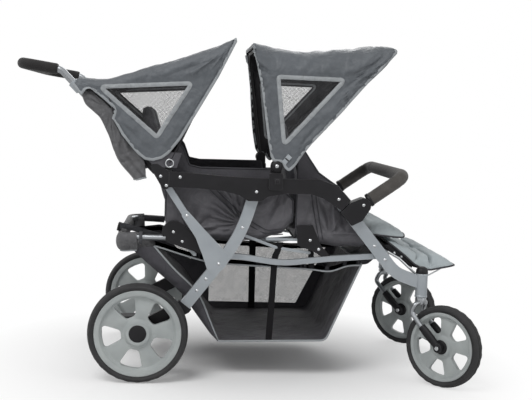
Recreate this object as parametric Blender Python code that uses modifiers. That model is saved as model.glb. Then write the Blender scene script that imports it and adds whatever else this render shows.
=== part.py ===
import math

import bmesh
import bpy
from mathutils import Matrix, Vector

# Lengths are in metres. Plan points are (x, z) in the side view: x runs forward from the
# rear axle and z up from the ground. Near is the -Y side and far is the +Y side.

GAP = 0.0003
SIDES = (("near", -1), ("far", 1))

# Wheels
REAR_RADIUS = 0.1525
REAR_WIDTH = 0.045
REAR_TRACK = 0.700
FRONT_RADIUS = 0.128
FRONT_WIDTH = 0.042
TYRE_DEPTH = 0.0205
RIM_WALL = 0.006
HUB_RADIUS = 0.038
WEB_THICKNESS = 0.012
DISH = 0.006
REAR_AXLE_RADIUS = 0.008
AXLE_TUBE_RADIUS = 0.0125
AXLE_TUBE_END_GAP = 0.018
FRONT_PIN_RADIUS = 0.006
OPENING_COUNT = 5
OPENING_TURN = math.radians(43)
WHEEL_STEPS = 36

# Castors
HEAD_X = 0.882
HEAD_RADIUS = 0.0185
HEAD_BOTTOM = 0.271
HEAD_TOP = 0.346
CAP_HEIGHT = 0.026
CAP_RADIUS = 0.0165
STEM_RADIUS = 0.0127
TRAIL = 0.089
SWIVEL = {"near": math.radians(-44), "far": math.radians(-40)}
FORK_TUBE_RADIUS = 0.0078
FORK_SIDE_GAP = 0.0035
FORK_BRIDGE_RADIUS = 0.011
FORK_CROWN_DROP = 0.018
FORK_SWEEP = 0.012
FORK_BOSS_RADIUS = 0.0125
FORK_BOSS_HALF = 0.0075

# Side frames, measured out from the middle plane
FRAME_DEPTH = 0.020
WHEEL_TO_FRAME = 0.0195
FRAME_CENTRE = REAR_TRACK / 2 - REAR_WIDTH / 2 - WHEEL_TO_FRAME - FRAME_DEPTH / 2
RAIL_DEPTH = 0.0197
GUSSET_DEPTH = 0.003
LOWER_RAIL_DEPTH = 0.017
BRACKET_DEPTH = 0.0155
FRAME_INNER = FRAME_CENTRE - FRAME_DEPTH / 2
FRAME_OUTER = FRAME_CENTRE + FRAME_DEPTH / 2
RAIL_OUTER = FRAME_OUTER + GAP + RAIL_DEPTH
BRACKET_OUTER = FRAME_INNER - GAP
AXLE_TUBE_HALF = FRAME_INNER - AXLE_TUBE_END_GAP

# Rear leg, gusset and upright
RAIL_PIVOT = (0.344, 0.583)
LEG_WIDTH = 0.036
LEG_BENDS = [(0.322, 0.507), (0.300, 0.452), (0.266, 0.394), (0.219, 0.333)]
LEG_FOOT = (0.142, 0.232)
AXLE_BRACKET_WIDTH = 0.046
GUSSET_TOP = (0.136, 0.512)
UPRIGHT_WIDTH = 0.020
GUSSET_TOP_RADIUS = 0.013
GUSSET_REAR = [(0.167, 0.444), (0.189, 0.392)]
GUSSET_FOOT_REAR = (0.205, 0.347)
GUSSET_FOOT_FRONT = (0.233, 0.326)
GUSSET_FRONT = [(0.262, 0.356), (0.274, 0.378), (0.270, 0.392), (0.250, 0.413), (0.199, 0.464)]

# Push handle
HANDLE_PIVOT = (0.056, 0.630)
HANDLE_TUBE_RADIUS = 0.0105
HANDLE_CENTRE = FRAME_OUTER - HANDLE_TUBE_RADIUS
HANDLE_BEND = (-0.250, 0.940)
GRIP_START_X = -0.260
GRIP_END_X = -0.370
GRIP_END_Z = 0.957
GRIP_RADIUS = 0.0165
GRIP_CORNER = 0.045
UPRIGHT_CLEARANCE = 0.0035

# Side rail and its joints
RAIL_REAR_X = 0.0817
RAIL_TOP = [(0.131, 0.644), (0.248, 0.636), (0.388, 0.632), (0.542, 0.635), (0.586, 0.620),
            (0.619, 0.597), (0.642, 0.572)]
RAIL_BOTTOM = [(0.613, 0.540), (0.593, 0.553), (0.556, 0.576), (0.516, 0.588), (0.445, 0.588),
               (0.386, 0.577), (0.364, 0.562), (0.324, 0.562), (0.296, 0.579), (0.249, 0.590),
               (0.171, 0.596)]
FOLD_JOINT_REST = [(0.046, 0.668), (0.024, 0.666), (0.030, 0.646), (0.064, 0.590)]
FOLD_JOINT_FOOT_Z = 0.592
RAIL_HEIGHT = 0.048
CANOPY_PIVOT = (0.407, 0.672)
LUG_RADIUS = 0.017
LUG_HEIGHT = 0.060
CLIP_WIDTH = 0.042
CLIP_HEIGHT = 0.052
CLIP_DEPTH = 0.008

# Front leg and clamp
FRONT_LEG_TOP = (0.602, 0.578)
FRONT_LEG_BEND = (0.796, 0.345)
FRONT_LEG_END_Z = 0.319
FRONT_LEG_WIDTH = 0.038
CLAMP_PIVOT = (0.680, 0.556)
CLAMP_RADIUS = 0.025
CLAMP_BACK = [(0.643, 0.566), (0.611, 0.535), (0.648, 0.494), (0.680, 0.510)]
CLAMP_INNER_WALL = 0.008

# Bumper bar
BUMPER_CORNER = (0.812, 0.650)
BUMPER_RADIUS = 0.0205
BUMPER_CORNER_RADIUS = 0.050

# Lower rail and cross tubes
LOWER_RAIL_WIDTH = 0.017
LOWER_RAIL = [(0.247, 0.384), (0.300, 0.385), (0.440, 0.366), (0.582, 0.383), (0.742, 0.396)]
CROSS_RADIUS = 0.011
REAR_CROSS = (0.200, 0.404)
FRONT_CROSS = (0.757, 0.402)

# Seats
SEAT_CENTRE_GAP = 0.006
SEAT_WALL = 0.012
SEAM_DEPTH = 0.0015
SEAM_WIDTH = 0.003
SEAM_CLEARANCE = 0.004
REAR_SEAT_X = 0.250
FRONT_SEAT_X = 0.600
SEAT_HALF = BRACKET_OUTER - BRACKET_DEPTH - GAP
BACK_THICKNESS = 0.035
REAR_FLOOR = 0.500
REAR_BACK_TOP = (0.000, 0.838)
REAR_BACK_X = 0.096
FRONT_FLOOR = 0.480
FRONT_BACK_TOP = (0.425, 0.806)
FRONT_BACK_X = 0.501
REAR_SEAT_OUTLINE = [(0.075, 0.436), (0.100, 0.426), (0.355, 0.428), (0.440, 0.456), (0.470, 0.490),
                     (0.470, 0.560), (0.405, 0.615), (0.398, 0.680), (0.140, 0.680), (0.100, 0.600),
                     (0.070, 0.590)]
FRONT_SEAT_OUTLINE = [(0.478, 0.440), (0.500, 0.432), (0.690, 0.424), (0.712, 0.440), (0.708, 0.478),
                      (0.640, 0.545), (0.612, 0.625), (0.530, 0.670), (0.480, 0.665)]
SEAT_BRACKET_CENTRE = (0.100, 0.455)
SEAT_BRACKET_RADIUS = 0.036
SEAT_BRACKET_ARM = 0.034
MID_BRACKET = [(0.484, 0.486), (0.486, 0.424), (0.540, 0.404), (0.562, 0.3897), (0.590, 0.3928),
               (0.560, 0.424), (0.532, 0.488)]

# Basket and its rear bar
BASKET_HALF = BRACKET_OUTER - LOWER_RAIL_DEPTH - GAP
BASKET_WALL = 0.004
BASKET_OUTLINE = [(0.247, 0.110), (0.588, 0.118), (0.693, 0.366), (0.600, 0.366), (0.440, 0.361),
                  (0.271, 0.370), (0.191, 0.376), (0.044, 0.413), (-0.030, 0.404), (0.136, 0.256)]
BASKET_BAR_RADIUS = 0.009
BASKET_BAR_Z = 0.437
BASKET_BAR_REAR = -0.063
BASKET_BAR_CORNER = 0.055

# Footrests
CALF_OUTLINE = [(0.7114, 0.452), (0.7086, 0.480), (0.712, 0.498), (0.740, 0.506), (0.830, 0.473),
                (0.842, 0.460), (0.830, 0.450), (0.760, 0.458)]
FOOT_OUTLINE = [(0.780, 0.446), (0.860, 0.406), (0.998, 0.376), (1.002, 0.364), (0.925, 0.360),
                (0.856, 0.384)]
FOOT_HALF = 0.256
FOOT_MIDDLE_GAP = 0.012

# Canopies
SHEET = 0.004
BOW_RADIUS = 0.0045
SHEET_INNER = RAIL_OUTER + GAP
BOW_CENTRE = SHEET_INNER - GAP - BOW_RADIUS
BOW_CORNER_RADIUS = 0.055
EYELET = (0.082, 0.670)
EYELET_HUB_RADIUS = 0.0208
REAR_BOW_TIP = (0.248, 1.030)
REAR_CANOPY_TOP = [(-0.211, 0.895), (-0.192, 0.921), (-0.114, 0.918), (-0.016, 0.951), (0.095, 0.984),
                   (0.180, 1.013), (0.262, 1.052)]
REAR_CANOPY_REST = [(0.222, 0.939), (0.163, 0.832), (0.112, 0.742), (0.070, 0.694), (0.028, 0.676),
                    (-0.004, 0.686), (-0.036, 0.728), (-0.100, 0.805), (-0.170, 0.870)]
REAR_WINDOW = [(-0.110, 0.885), (0.129, 0.908), (0.036, 0.758)]
DRAPE_POINTS = [(-0.170, 0.9156), (-0.163, 0.850), (-0.135, 0.795), (-0.110, 0.742), (-0.084, 0.683),
                (-0.058, 0.642), (-0.029, 0.620)]
DRAPE_THICKNESS = 0.006
DRAPE_SIDE_GAP = 0.009
DRAPE_HALF = HANDLE_CENTRE - HANDLE_TUBE_RADIUS - DRAPE_SIDE_GAP
FRONT_BOW_CENTRE = BOW_CENTRE + 2 * BOW_RADIUS + GAP
FRONT_SHEET_INNER = FRONT_BOW_CENTRE + BOW_RADIUS + GAP
FRONT_REAR_BOW_TIP = (0.334, 1.022)
FRONT_BOW_TIP = (0.752, 1.012)
FRONT_CANOPY_TOP = [(0.324, 1.030), (0.331, 1.044), (0.427, 1.027), (0.500, 1.026), (0.591, 1.035),
                    (0.675, 1.047), (0.757, 1.047), (0.778, 1.034)]
FRONT_CANOPY_REST = [(0.669, 0.922), (0.590, 0.831), (0.511, 0.743), (0.468, 0.700), (0.440, 0.694),
                     (0.395, 0.694), (0.353, 0.908)]
FRONT_WINDOW = [(0.411, 0.929), (0.592, 0.930), (0.434, 0.752)]
HUB_DISC_RADIUS = 0.0195
HUB_DISC_OUTER = FRONT_SHEET_INNER + 0.002

# Brake
BRAKE_WIDTH = 0.060
BRAKE_LENGTH = 0.085
BRAKE_THICKNESS = 0.012
BRAKE_RING = 0.007


def remove_old_objects():
    for old in list(bpy.data.objects):
        bpy.data.objects.remove(old, do_unlink=True)


def make_collection(name):
    collection = bpy.data.collections.new(name)
    bpy.context.scene.collection.children.link(collection)
    return collection


remove_old_objects()
STROLLER = make_collection("four_seat_stroller")
CUTTERS = make_collection("cutters")
MATERIALS = {}


def material(name, hex_colour, roughness, metallic=0.0):
    """Gives each object its own copy of a finish."""
    made = bpy.data.materials.new(name)
    made.use_nodes = True
    shader = made.node_tree.nodes["Principled BSDF"]
    levels = [int(hex_colour[i:i + 2], 16) / 255 for i in (0, 2, 4)]
    linear = [((c + 0.055) / 1.055) ** 2.4 if c > 0.04045 else c / 12.92 for c in levels]
    shader.inputs["Base Color"].default_value = (*linear, 1.0)
    shader.inputs["Roughness"].default_value = roughness
    shader.inputs["Metallic"].default_value = metallic
    return made


FINISHES = {
    "silver": ("A4A8AB", 0.38, 0.6),
    "black_plastic": ("1E1E20", 0.50, 0.0),
    "rubber": ("232324", 0.80, 0.0),
    "rim": ("B4B7B8", 0.45, 0.0),
    "foam": ("1C1B1B", 0.95, 0.0),
    "bumper_foam": ("4F4B4A", 0.90, 0.0),
    "canopy": ("62676C", 0.80, 0.0),
    "seat": ("45434A", 0.85, 0.0),
    "basket": ("242428", 0.85, 0.0),
    "pad": ("A7B0B3", 0.85, 0.0),
}


def finish(obj, kind):
    hex_colour, roughness, metallic = FINISHES[kind]
    obj.data.materials.clear()
    obj.data.materials.append(material(obj.name + "_" + kind, hex_colour, roughness, metallic))


def empty_at(name, location, parent=None, turn=0.0):
    """An empty that stands for a joint axis; turn is about Z."""
    empty = bpy.data.objects.new(name, None)
    empty.empty_display_size = 0.03
    empty.location = location
    empty.rotation_euler = (0, 0, turn)
    empty.parent = parent
    STROLLER.objects.link(empty)
    return empty


def new_mesh_object(name, mesh, collection=None):
    obj = bpy.data.objects.new(name, mesh)
    (collection or STROLLER).objects.link(obj)
    return obj


def curve_to_mesh(name, curve_object):
    """Replaces a curve object with a welded mesh object of the same shape and place."""
    bpy.context.view_layer.update()
    graph = bpy.context.evaluated_depsgraph_get()
    mesh = bpy.data.meshes.new_from_object(curve_object.evaluated_get(graph))
    mesh.transform(curve_object.matrix_world)
    bpy.data.objects.remove(curve_object, do_unlink=True)
    weld(mesh)
    mesh.name = name
    return new_mesh_object(name, mesh)


def weld(mesh):
    work = bmesh.new()
    work.from_mesh(mesh)
    bmesh.ops.remove_doubles(work, verts=work.verts, dist=0.00001)
    bmesh.ops.recalc_face_normals(work, faces=work.faces)
    work.to_mesh(mesh)
    work.free()


def rounded(points, radius, steps=3, closed=True):
    """Rounds each corner of a path or outline with an arc of the given radius, where it fits."""
    result = []
    count = len(points)
    for i, point in enumerate(points):
        here = Vector(point)
        if not closed and i in (0, count - 1):
            result.append(here)
            continue
        to_last = Vector(points[i - 1]) - here
        to_next = Vector(points[(i + 1) % count]) - here
        turn = math.pi - to_last.angle(to_next)
        reach = min(radius * math.tan(turn / 2), 0.45 * to_last.length, 0.45 * to_next.length)
        if reach < 1e-5:
            result.append(here)
            continue
        start = here + to_last.normalized() * reach
        end = here + to_next.normalized() * reach
        for k in range(steps + 1):
            t = k / steps
            result.append((1 - t) ** 2 * start + 2 * t * (1 - t) * here + t ** 2 * end)
    return [tuple(p) for p in result]


def offset_outline(outline, distance):
    """Moves each edge of a closed outline outward by distance, or inward where it is negative."""
    area = sum(a[0] * b[1] - b[0] * a[1] for a, b in zip(outline, outline[1:] + outline[:1]))
    sign = 1 if area > 0 else -1
    result = []
    for i, point in enumerate(outline):
        before = (Vector(point) - Vector(outline[i - 1])).normalized()
        after = (Vector(outline[(i + 1) % len(outline)]) - Vector(point)).normalized()
        normal_a = Vector((before.y, -before.x)) * sign
        normal_b = Vector((after.y, -after.x)) * sign
        middle = (normal_a + normal_b).normalized()
        result.append(tuple(Vector(point) + middle * distance / max(0.3, middle.dot(normal_a))))
    return result


def strip_outline(path, width, round_start=False, round_end=False):
    """The outline of a flat bar along a side-view path, with square or round ends."""
    left = []
    right = []
    for i, point in enumerate(path):
        ahead = Vector(path[min(i + 1, len(path) - 1)]) - Vector(point)
        behind = Vector(point) - Vector(path[max(i - 1, 0)])
        run = (ahead.normalized() + behind.normalized()).normalized()
        normal = Vector((-run.y, run.x))
        stretch = 1 / max(0.5, run.dot((ahead if ahead.length else behind).normalized()))
        left.append(tuple(Vector(point) + normal * width / 2 * stretch))
        right.append(tuple(Vector(point) - normal * width / 2 * stretch))
    last_cap = []
    first_cap = []
    if round_end:
        last_cap = half_turn(path[-1], left[-1], -1)
    if round_start:
        first_cap = half_turn(path[0], right[0], -1)
    return left + last_cap + right[::-1] + first_cap


def half_turn(centre, start, sense, steps=8):
    """Points inside a half circle about the centre, from start to its opposite."""
    arm = Vector(start) - Vector(centre)
    angle = math.degrees(math.atan2(arm.y, arm.x))
    return arc(centre, arm.length, angle, angle + sense * 180, steps)[1:-1]


def arc(centre, radius, start, end, steps):
    """Points on an arc in the side view; angles are in degrees."""
    angles = [math.radians(start + (end - start) * k / steps) for k in range(steps + 1)]
    return [(centre[0] + radius * math.cos(a), centre[1] + radius * math.sin(a)) for a in angles]


def circle(centre, radius, steps=20):
    return arc(centre, radius, 0, 360 - 360 / steps, steps - 1)


def plate(name, outline, y_from, y_to, holes=()):
    """A flat piece: a side-view outline, with holes, that runs from y_from to y_to."""
    curve = bpy.data.curves.new(name, "CURVE")
    curve.dimensions = "2D"
    curve.fill_mode = "BOTH"
    curve.extrude = abs(y_to - y_from) / 2
    for ring in [outline, *holes]:
        spline = curve.splines.new("POLY")
        spline.points.add(len(ring) - 1)
        for spot, (x, z) in zip(spline.points, ring):
            spot.co = (x, z, 0, 1)
        spline.use_cyclic_u = True
    holder = bpy.data.objects.new(name + "_curve", curve)
    holder.rotation_euler = (math.pi / 2, 0, 0)
    holder.location = (0, (y_from + y_to) / 2, 0)
    STROLLER.objects.link(holder)
    return curve_to_mesh(name, holder)


def side_plate(name, outline, inner, outer, side, holes=()):
    return plate(name, outline, side * inner, side * outer, holes)


def tube(name, points, radius, sides=2):
    """A round bar along 3D points, with filled ends."""
    curve = bpy.data.curves.new(name, "CURVE")
    curve.dimensions = "3D"
    curve.bevel_depth = radius
    curve.bevel_resolution = sides
    curve.use_fill_caps = True
    spline = curve.splines.new("POLY")
    spline.points.add(len(points) - 1)
    for spot, point in zip(spline.points, points):
        spot.co = (*point, 1)
    holder = bpy.data.objects.new(name + "_curve", curve)
    STROLLER.objects.link(holder)
    return curve_to_mesh(name, holder)


def rod(name, radius, start, end, segments=20):
    """A straight round bar between two points."""
    line = Vector(end) - Vector(start)
    work = bmesh.new()
    bmesh.ops.create_cone(work, cap_ends=True, segments=segments, radius1=radius, radius2=radius,
                          depth=line.length)
    turn = line.to_track_quat("Z", "Y").to_matrix().to_4x4()
    work.transform(Matrix.Translation((Vector(start) + Vector(end)) / 2) @ turn)
    mesh = bpy.data.meshes.new(name)
    work.to_mesh(mesh)
    work.free()
    return new_mesh_object(name, mesh)


def turned(name, profile, steps=WHEEL_STEPS):
    """A turned piece about the Y axis. The profile is a closed ring of (radius, y) points."""
    work = bmesh.new()
    spots = [work.verts.new((radius, y, 0)) for radius, y in profile]
    for a, b in zip(spots, spots[1:] + spots[:1]):
        work.edges.new((a, b))
    mesh = bpy.data.meshes.new(name)
    work.to_mesh(mesh)
    work.free()
    obj = new_mesh_object(name, mesh)
    screw = obj.modifiers.new("turn", "SCREW")
    screw.axis = "Y"
    screw.steps = steps
    screw.render_steps = steps
    screw.use_merge_vertices = True
    screw.merge_threshold = 0.00001
    apply_modifiers(obj)
    weld(obj.data)
    return obj


def apply_modifiers(obj):
    bpy.context.view_layer.update()
    graph = bpy.context.evaluated_depsgraph_get()
    mesh = bpy.data.meshes.new_from_object(obj.evaluated_get(graph))
    obj.modifiers.clear()
    obj.data = mesh


def combine(target, tools, operation):
    """Joins or cuts the target with each tool and removes the tools."""
    for tool in tools:
        tool.hide_render = True
        tool.display_type = "WIRE"
        STROLLER.objects.unlink(tool)
        CUTTERS.objects.link(tool)
        step = target.modifiers.new(operation.lower(), "BOOLEAN")
        step.operation = operation
        step.solver = "EXACT"
        step.object = tool
        apply_modifiers(target)
        bpy.data.objects.remove(tool, do_unlink=True)
    weld(target.data)
    return target


def cut(target, *tools):
    return combine(target, tools, "DIFFERENCE")


def join(target, *tools):
    return combine(target, tools, "UNION")


def settle(obj, parent, origin, kind, world_origin=None):
    """Gives the piece its finish, its parent and an origin, which is a point in the chassis frame."""
    obj.data.transform(Matrix.Translation(-Vector(origin)))
    base = world_origin if world_origin is not None else (0, 0, 0)
    obj.parent = parent
    obj.location = Vector(origin) - Vector(base)
    finish(obj, kind)
    obj.data.shade_smooth()
    obj.data.set_sharp_from_angle(angle=math.radians(35))
    return obj


def at(point, y):
    """A side-view point at a given y."""
    return (point[0], y, point[1])


# The chassis frame stands under the rear axle. The world origin is on the ground, under the
# middle of the box round the whole stroller, so the chassis is moved by half of what sticks out.
def castor_reach(side_name, sign):
    """The castor wheel's centre, and how far the tyre reaches from it in x and y."""
    turn = SWIVEL[side_name]
    centre_x = HEAD_X + TRAIL * math.cos(turn)
    centre_y = sign * FRAME_CENTRE + TRAIL * math.sin(turn)
    reach_x = FRONT_RADIUS * abs(math.cos(turn)) + 0.25 * FRONT_WIDTH * abs(math.sin(turn))
    reach_y = FRONT_RADIUS * abs(math.sin(turn)) + 0.25 * FRONT_WIDTH * abs(math.cos(turn))
    return centre_x, centre_y, reach_x, reach_y


NEAR_REACH = castor_reach("near", -1)
FAR_REACH = castor_reach("far", 1)
FRONT_MOST = max(NEAR_REACH[0] + NEAR_REACH[2], FAR_REACH[0] + FAR_REACH[2])
REAR_MOST = GRIP_END_X - GRIP_RADIUS
NEAR_MOST = min(NEAR_REACH[1] - NEAR_REACH[3], -(REAR_TRACK + REAR_WIDTH) / 2)
FAR_MOST = (REAR_TRACK + REAR_WIDTH) / 2
CHASSIS = empty_at("chassis", (-(FRONT_MOST + REAR_MOST) / 2, -(NEAR_MOST + FAR_MOST) / 2, 0))


def tyre_profile(radius, width):
    """A rounded tyre section on a flat rim seat."""
    seat = radius - TYRE_DEPTH
    half = width / 2
    crown = [(radius * 1.0, 0.25 * half), (radius - 0.15 * TYRE_DEPTH, 0.72 * half),
             (radius - 0.48 * TYRE_DEPTH, half), (seat, 0.82 * half)]
    return crown + [(r, -y) for r, y in reversed(crown)]


def rim_profile(radius, width, bore, outward):
    """Barrel, dished web and hub in one section. outward is the side that faces away."""
    seat = radius - TYRE_DEPTH - GAP
    half = 0.40 * width
    inner = seat - RIM_WALL
    web = WEB_THICKNESS / 2
    hub_half = 0.5 * width
    hub = HUB_RADIUS * radius / REAR_RADIUS
    ring = [(seat, half), (seat, -half), (inner, -half), (inner, -web + DISH * 0.5),
            (hub, -web - DISH * 0.4),
            (hub * 0.9, -hub_half), (bore, -hub_half), (bore, hub_half), (hub * 0.9, hub_half),
            (hub, web + DISH * 0.2), (inner, web + DISH), (inner, half)]
    return [(r, y * outward) for r, y in ring]


def wheel_openings(name, radius, width):
    """Cutters for the rounded openings between the spokes."""
    scale = radius / REAR_RADIUS
    cutters = []
    for k in range(OPENING_COUNT):
        angle = OPENING_TURN + k * 2 * math.pi / OPENING_COUNT
        out = Vector((math.cos(angle), math.sin(angle)))
        across = Vector((-out.y, out.x))
        corners = [out * 0.054 - across * 0.012, out * 0.105 - across * 0.033,
                   out * 0.105 + across * 0.033, out * 0.054 + across * 0.012]
        outline = rounded([tuple(c * scale) for c in corners], 0.011 * scale, 2)
        cutters.append(plate(name + "_opening_" + str(k), outline, -width, width))
    return cutters


def make_wheel(name, side_name, sign, radius, width, bore, parent):
    tyre = turned(name + "_tyre_" + side_name, tyre_profile(radius, width))
    settle(tyre, parent, (0, 0, 0), "rubber")
    rim = turned(name + "_rim_" + side_name, rim_profile(radius, width, bore, sign))
    cut(rim, *wheel_openings(name, radius, width))
    settle(rim, parent, (0, 0, 0), "rim")


def make_rear_axle():
    outer = REAR_TRACK / 2 + REAR_WIDTH / 2 - 0.004
    step = AXLE_TUBE_HALF
    axle = rod("rear_axle", REAR_AXLE_RADIUS, (0, -outer, REAR_RADIUS), (0, outer, REAR_RADIUS))
    sleeve = rod("axle_sleeve", AXLE_TUBE_RADIUS, (0, -step, REAR_RADIUS), (0, step, REAR_RADIUS))
    join(axle, sleeve)
    settle(axle, CHASSIS, (0, 0, REAR_RADIUS), "silver")


def make_rear_wheels():
    for side_name, sign in SIDES:
        hub = empty_at("rear_wheel_axis_" + side_name, (0, sign * REAR_TRACK / 2, REAR_RADIUS), CHASSIS)
        make_wheel("rear", side_name, sign, REAR_RADIUS, REAR_WIDTH, REAR_AXLE_RADIUS + GAP, hub)


def make_castor(side_name, sign):
    """Fork with stem, bridge, two bent legs and wheel pin, and the wheel, in the castor's own frame."""
    foot = (HEAD_X, sign * FRAME_CENTRE, 0)
    swivel = empty_at("castor_axis_" + side_name, foot, CHASSIS, SWIVEL[side_name])
    leg_y = FRONT_WIDTH / 2 + FORK_SIDE_GAP + FORK_TUBE_RADIUS
    bridge_z = HEAD_BOTTOM - FORK_CROWN_DROP
    fork = rod("castor_fork_" + side_name, STEM_RADIUS, (0, 0, bridge_z), (0, 0, HEAD_TOP + GAP + 0.002))
    cap = rod("cap", CAP_RADIUS, (0, 0, HEAD_TOP + GAP), (0, 0, HEAD_TOP + CAP_HEIGHT))
    collar = rod("collar", HEAD_RADIUS - 0.001, (0, 0, bridge_z - 0.004), (0, 0, HEAD_BOTTOM - GAP))
    bridge = rod("bridge", FORK_BRIDGE_RADIUS, (0, -leg_y, bridge_z), (0, leg_y, bridge_z), 16)
    pin = rod("pin", FRONT_PIN_RADIUS, (TRAIL, -leg_y, FRONT_RADIUS), (TRAIL, leg_y, FRONT_RADIUS), 16)
    legs = []
    for leg_side in (-1, 1):
        y = leg_side * leg_y
        path = [(0, y, bridge_z), (-FORK_SWEEP, y, bridge_z - 0.026), (0.022, y, bridge_z - 0.062),
                (TRAIL, y, FRONT_RADIUS)]
        legs.append(tube("leg", rounded(path, 0.03, 3, closed=False), FORK_TUBE_RADIUS))
        boss_start = (TRAIL, y - FORK_BOSS_HALF, FRONT_RADIUS)
        boss_end = (TRAIL, y + FORK_BOSS_HALF, FRONT_RADIUS)
        legs.append(rod("boss", FORK_BOSS_RADIUS, boss_start, boss_end, 16))
    join(fork, cap, collar, bridge, pin, *legs)
    settle(fork, swivel, (0, 0, 0), "silver")
    hub = empty_at("front_wheel_axis_" + side_name, (TRAIL, 0, FRONT_RADIUS), swivel)
    make_wheel("front", side_name, sign, FRONT_RADIUS, FRONT_WIDTH, FRONT_PIN_RADIUS + GAP, hub)


def make_rear_leg(side_name, sign):
    path = rounded([RAIL_PIVOT, *LEG_BENDS, LEG_FOOT], 0.25, 2, closed=False)
    outline = strip_outline(path, LEG_WIDTH, round_start=True)
    leg = side_plate("rear_leg_" + side_name, outline, FRAME_INNER, FRAME_OUTER, sign)
    settle(leg, CHASSIS, at(RAIL_PIVOT, sign * FRAME_CENTRE), "silver")


def make_axle_bracket(side_name, sign):
    foot = Vector(LEG_FOOT)
    hub = Vector((0, REAR_RADIUS))
    last_run = (foot - Vector(LEG_BENDS[-1])).normalized()
    start = foot + last_run * GAP
    normal = Vector((-last_run.y, last_run.x))
    ring = arc(hub, AXLE_BRACKET_WIDTH / 2, 100, 300, 10)
    outline = [tuple(start - normal * AXLE_BRACKET_WIDTH / 2), *ring,
               tuple(start + last_run * 0.012 + normal * AXLE_BRACKET_WIDTH / 2),
               tuple(start + normal * AXLE_BRACKET_WIDTH / 2)]
    bore = circle(tuple(hub), REAR_AXLE_RADIUS + GAP)
    bracket = side_plate("axle_bracket_" + side_name, outline, FRAME_INNER, FRAME_OUTER, sign, [bore])
    settle(bracket, CHASSIS, (0, sign * FRAME_CENTRE, REAR_RADIUS), "black_plastic")


def make_gusset(side_name, sign):
    top = arc(GUSSET_TOP, GUSSET_TOP_RADIUS, 30, 200, 6)
    outline = top + GUSSET_REAR + [GUSSET_FOOT_REAR, GUSSET_FOOT_FRONT] + GUSSET_FRONT
    inner = FRAME_OUTER + GAP
    gusset = side_plate("gusset_" + side_name, outline, inner, inner + GUSSET_DEPTH, sign)
    settle(gusset, CHASSIS, at(GUSSET_TOP, sign * FRAME_OUTER), "silver")


def make_upright(side_name, sign):
    run = (Vector(HANDLE_PIVOT) - Vector(GUSSET_TOP)).normalized()
    top = Vector(HANDLE_PIVOT) - run * (HANDLE_TUBE_RADIUS + UPRIGHT_CLEARANCE)
    outline = strip_outline([GUSSET_TOP, tuple(top)], UPRIGHT_WIDTH, round_start=True)
    upright = side_plate("rear_upright_" + side_name, outline, FRAME_INNER, FRAME_OUTER, sign)
    settle(upright, CHASSIS, at(GUSSET_TOP, sign * FRAME_CENTRE), "silver")


def make_fold_joint(side_name, sign):
    edge = RAIL_REAR_X - GAP
    corners = [(edge, RAIL_TOP[0][1] + 0.001), *FOLD_JOINT_REST, (edge, FOLD_JOINT_FOOT_Z)]
    outline = rounded(corners, 0.006, 2)
    joint = side_plate("fold_joint_" + side_name, outline, FRAME_OUTER + GAP, RAIL_OUTER, sign)
    settle(joint, CHASSIS, at(HANDLE_PIVOT, sign * FRAME_OUTER), "black_plastic")


def make_side_rail(side_name, sign):
    """Moulded rail with the canopy clip on its outer face and the canopy lug on its inner half."""
    outline = [(RAIL_REAR_X, RAIL_TOP[0][1] + 0.001), *RAIL_TOP, *RAIL_BOTTOM,
               (RAIL_REAR_X, RAIL_TOP[0][1] + 0.001 - RAIL_HEIGHT)]
    rail = side_plate("side_rail_" + side_name, outline, FRAME_OUTER + GAP, RAIL_OUTER, sign)
    lug_outer = BOW_CENTRE - BOW_RADIUS - GAP
    x, z = CANOPY_PIVOT
    lug_foot = z - LUG_HEIGHT
    lug_outline = arc(CANOPY_PIVOT, LUG_RADIUS, 0, 180, 8)
    lug_outline += [(x - LUG_RADIUS, lug_foot), (x + LUG_RADIUS, lug_foot)]
    lug = side_plate("lug", lug_outline, FRAME_OUTER + GAP, lug_outer, sign)
    clip_top = z - HUB_DISC_RADIUS - 0.002
    clip_foot = clip_top - CLIP_HEIGHT
    left = x - CLIP_WIDTH / 2
    right = x + CLIP_WIDTH / 2
    corners = [(left, clip_top), (right, clip_top), (right, clip_foot), (left, clip_foot)]
    clip_outline = rounded(corners, 0.006, 2)
    clip = side_plate("clip", clip_outline, RAIL_OUTER - 0.004, RAIL_OUTER + CLIP_DEPTH, sign)
    join(rail, lug, clip)
    settle(rail, CHASSIS, at(RAIL_PIVOT, sign * FRAME_OUTER), "black_plastic")


def front_leg_path():
    return [FRONT_LEG_TOP, FRONT_LEG_BEND, (HEAD_X - 0.4 * HEAD_RADIUS, FRONT_LEG_END_Z)]


def make_front_leg(side_name, sign):
    """Flat oval leg, bent forward at its foot and welded to the castor's head tube."""
    path = rounded(front_leg_path(), 0.12, 5, closed=False)
    outline = strip_outline(path, FRONT_LEG_WIDTH)
    leg = side_plate("front_leg_" + side_name, outline, FRAME_INNER, FRAME_OUTER, sign)
    y = sign * FRAME_CENTRE
    head = rod("head", HEAD_RADIUS, (HEAD_X, y, HEAD_BOTTOM), (HEAD_X, y, HEAD_TOP), 24)
    bore = rod("bore", STEM_RADIUS + GAP, (HEAD_X, y, HEAD_BOTTOM - 0.02), (HEAD_X, y, HEAD_TOP + 0.02))
    join(leg, head)
    cut(leg, bore)
    settle(leg, CHASSIS, at(FRONT_LEG_TOP, y), "silver")


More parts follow.
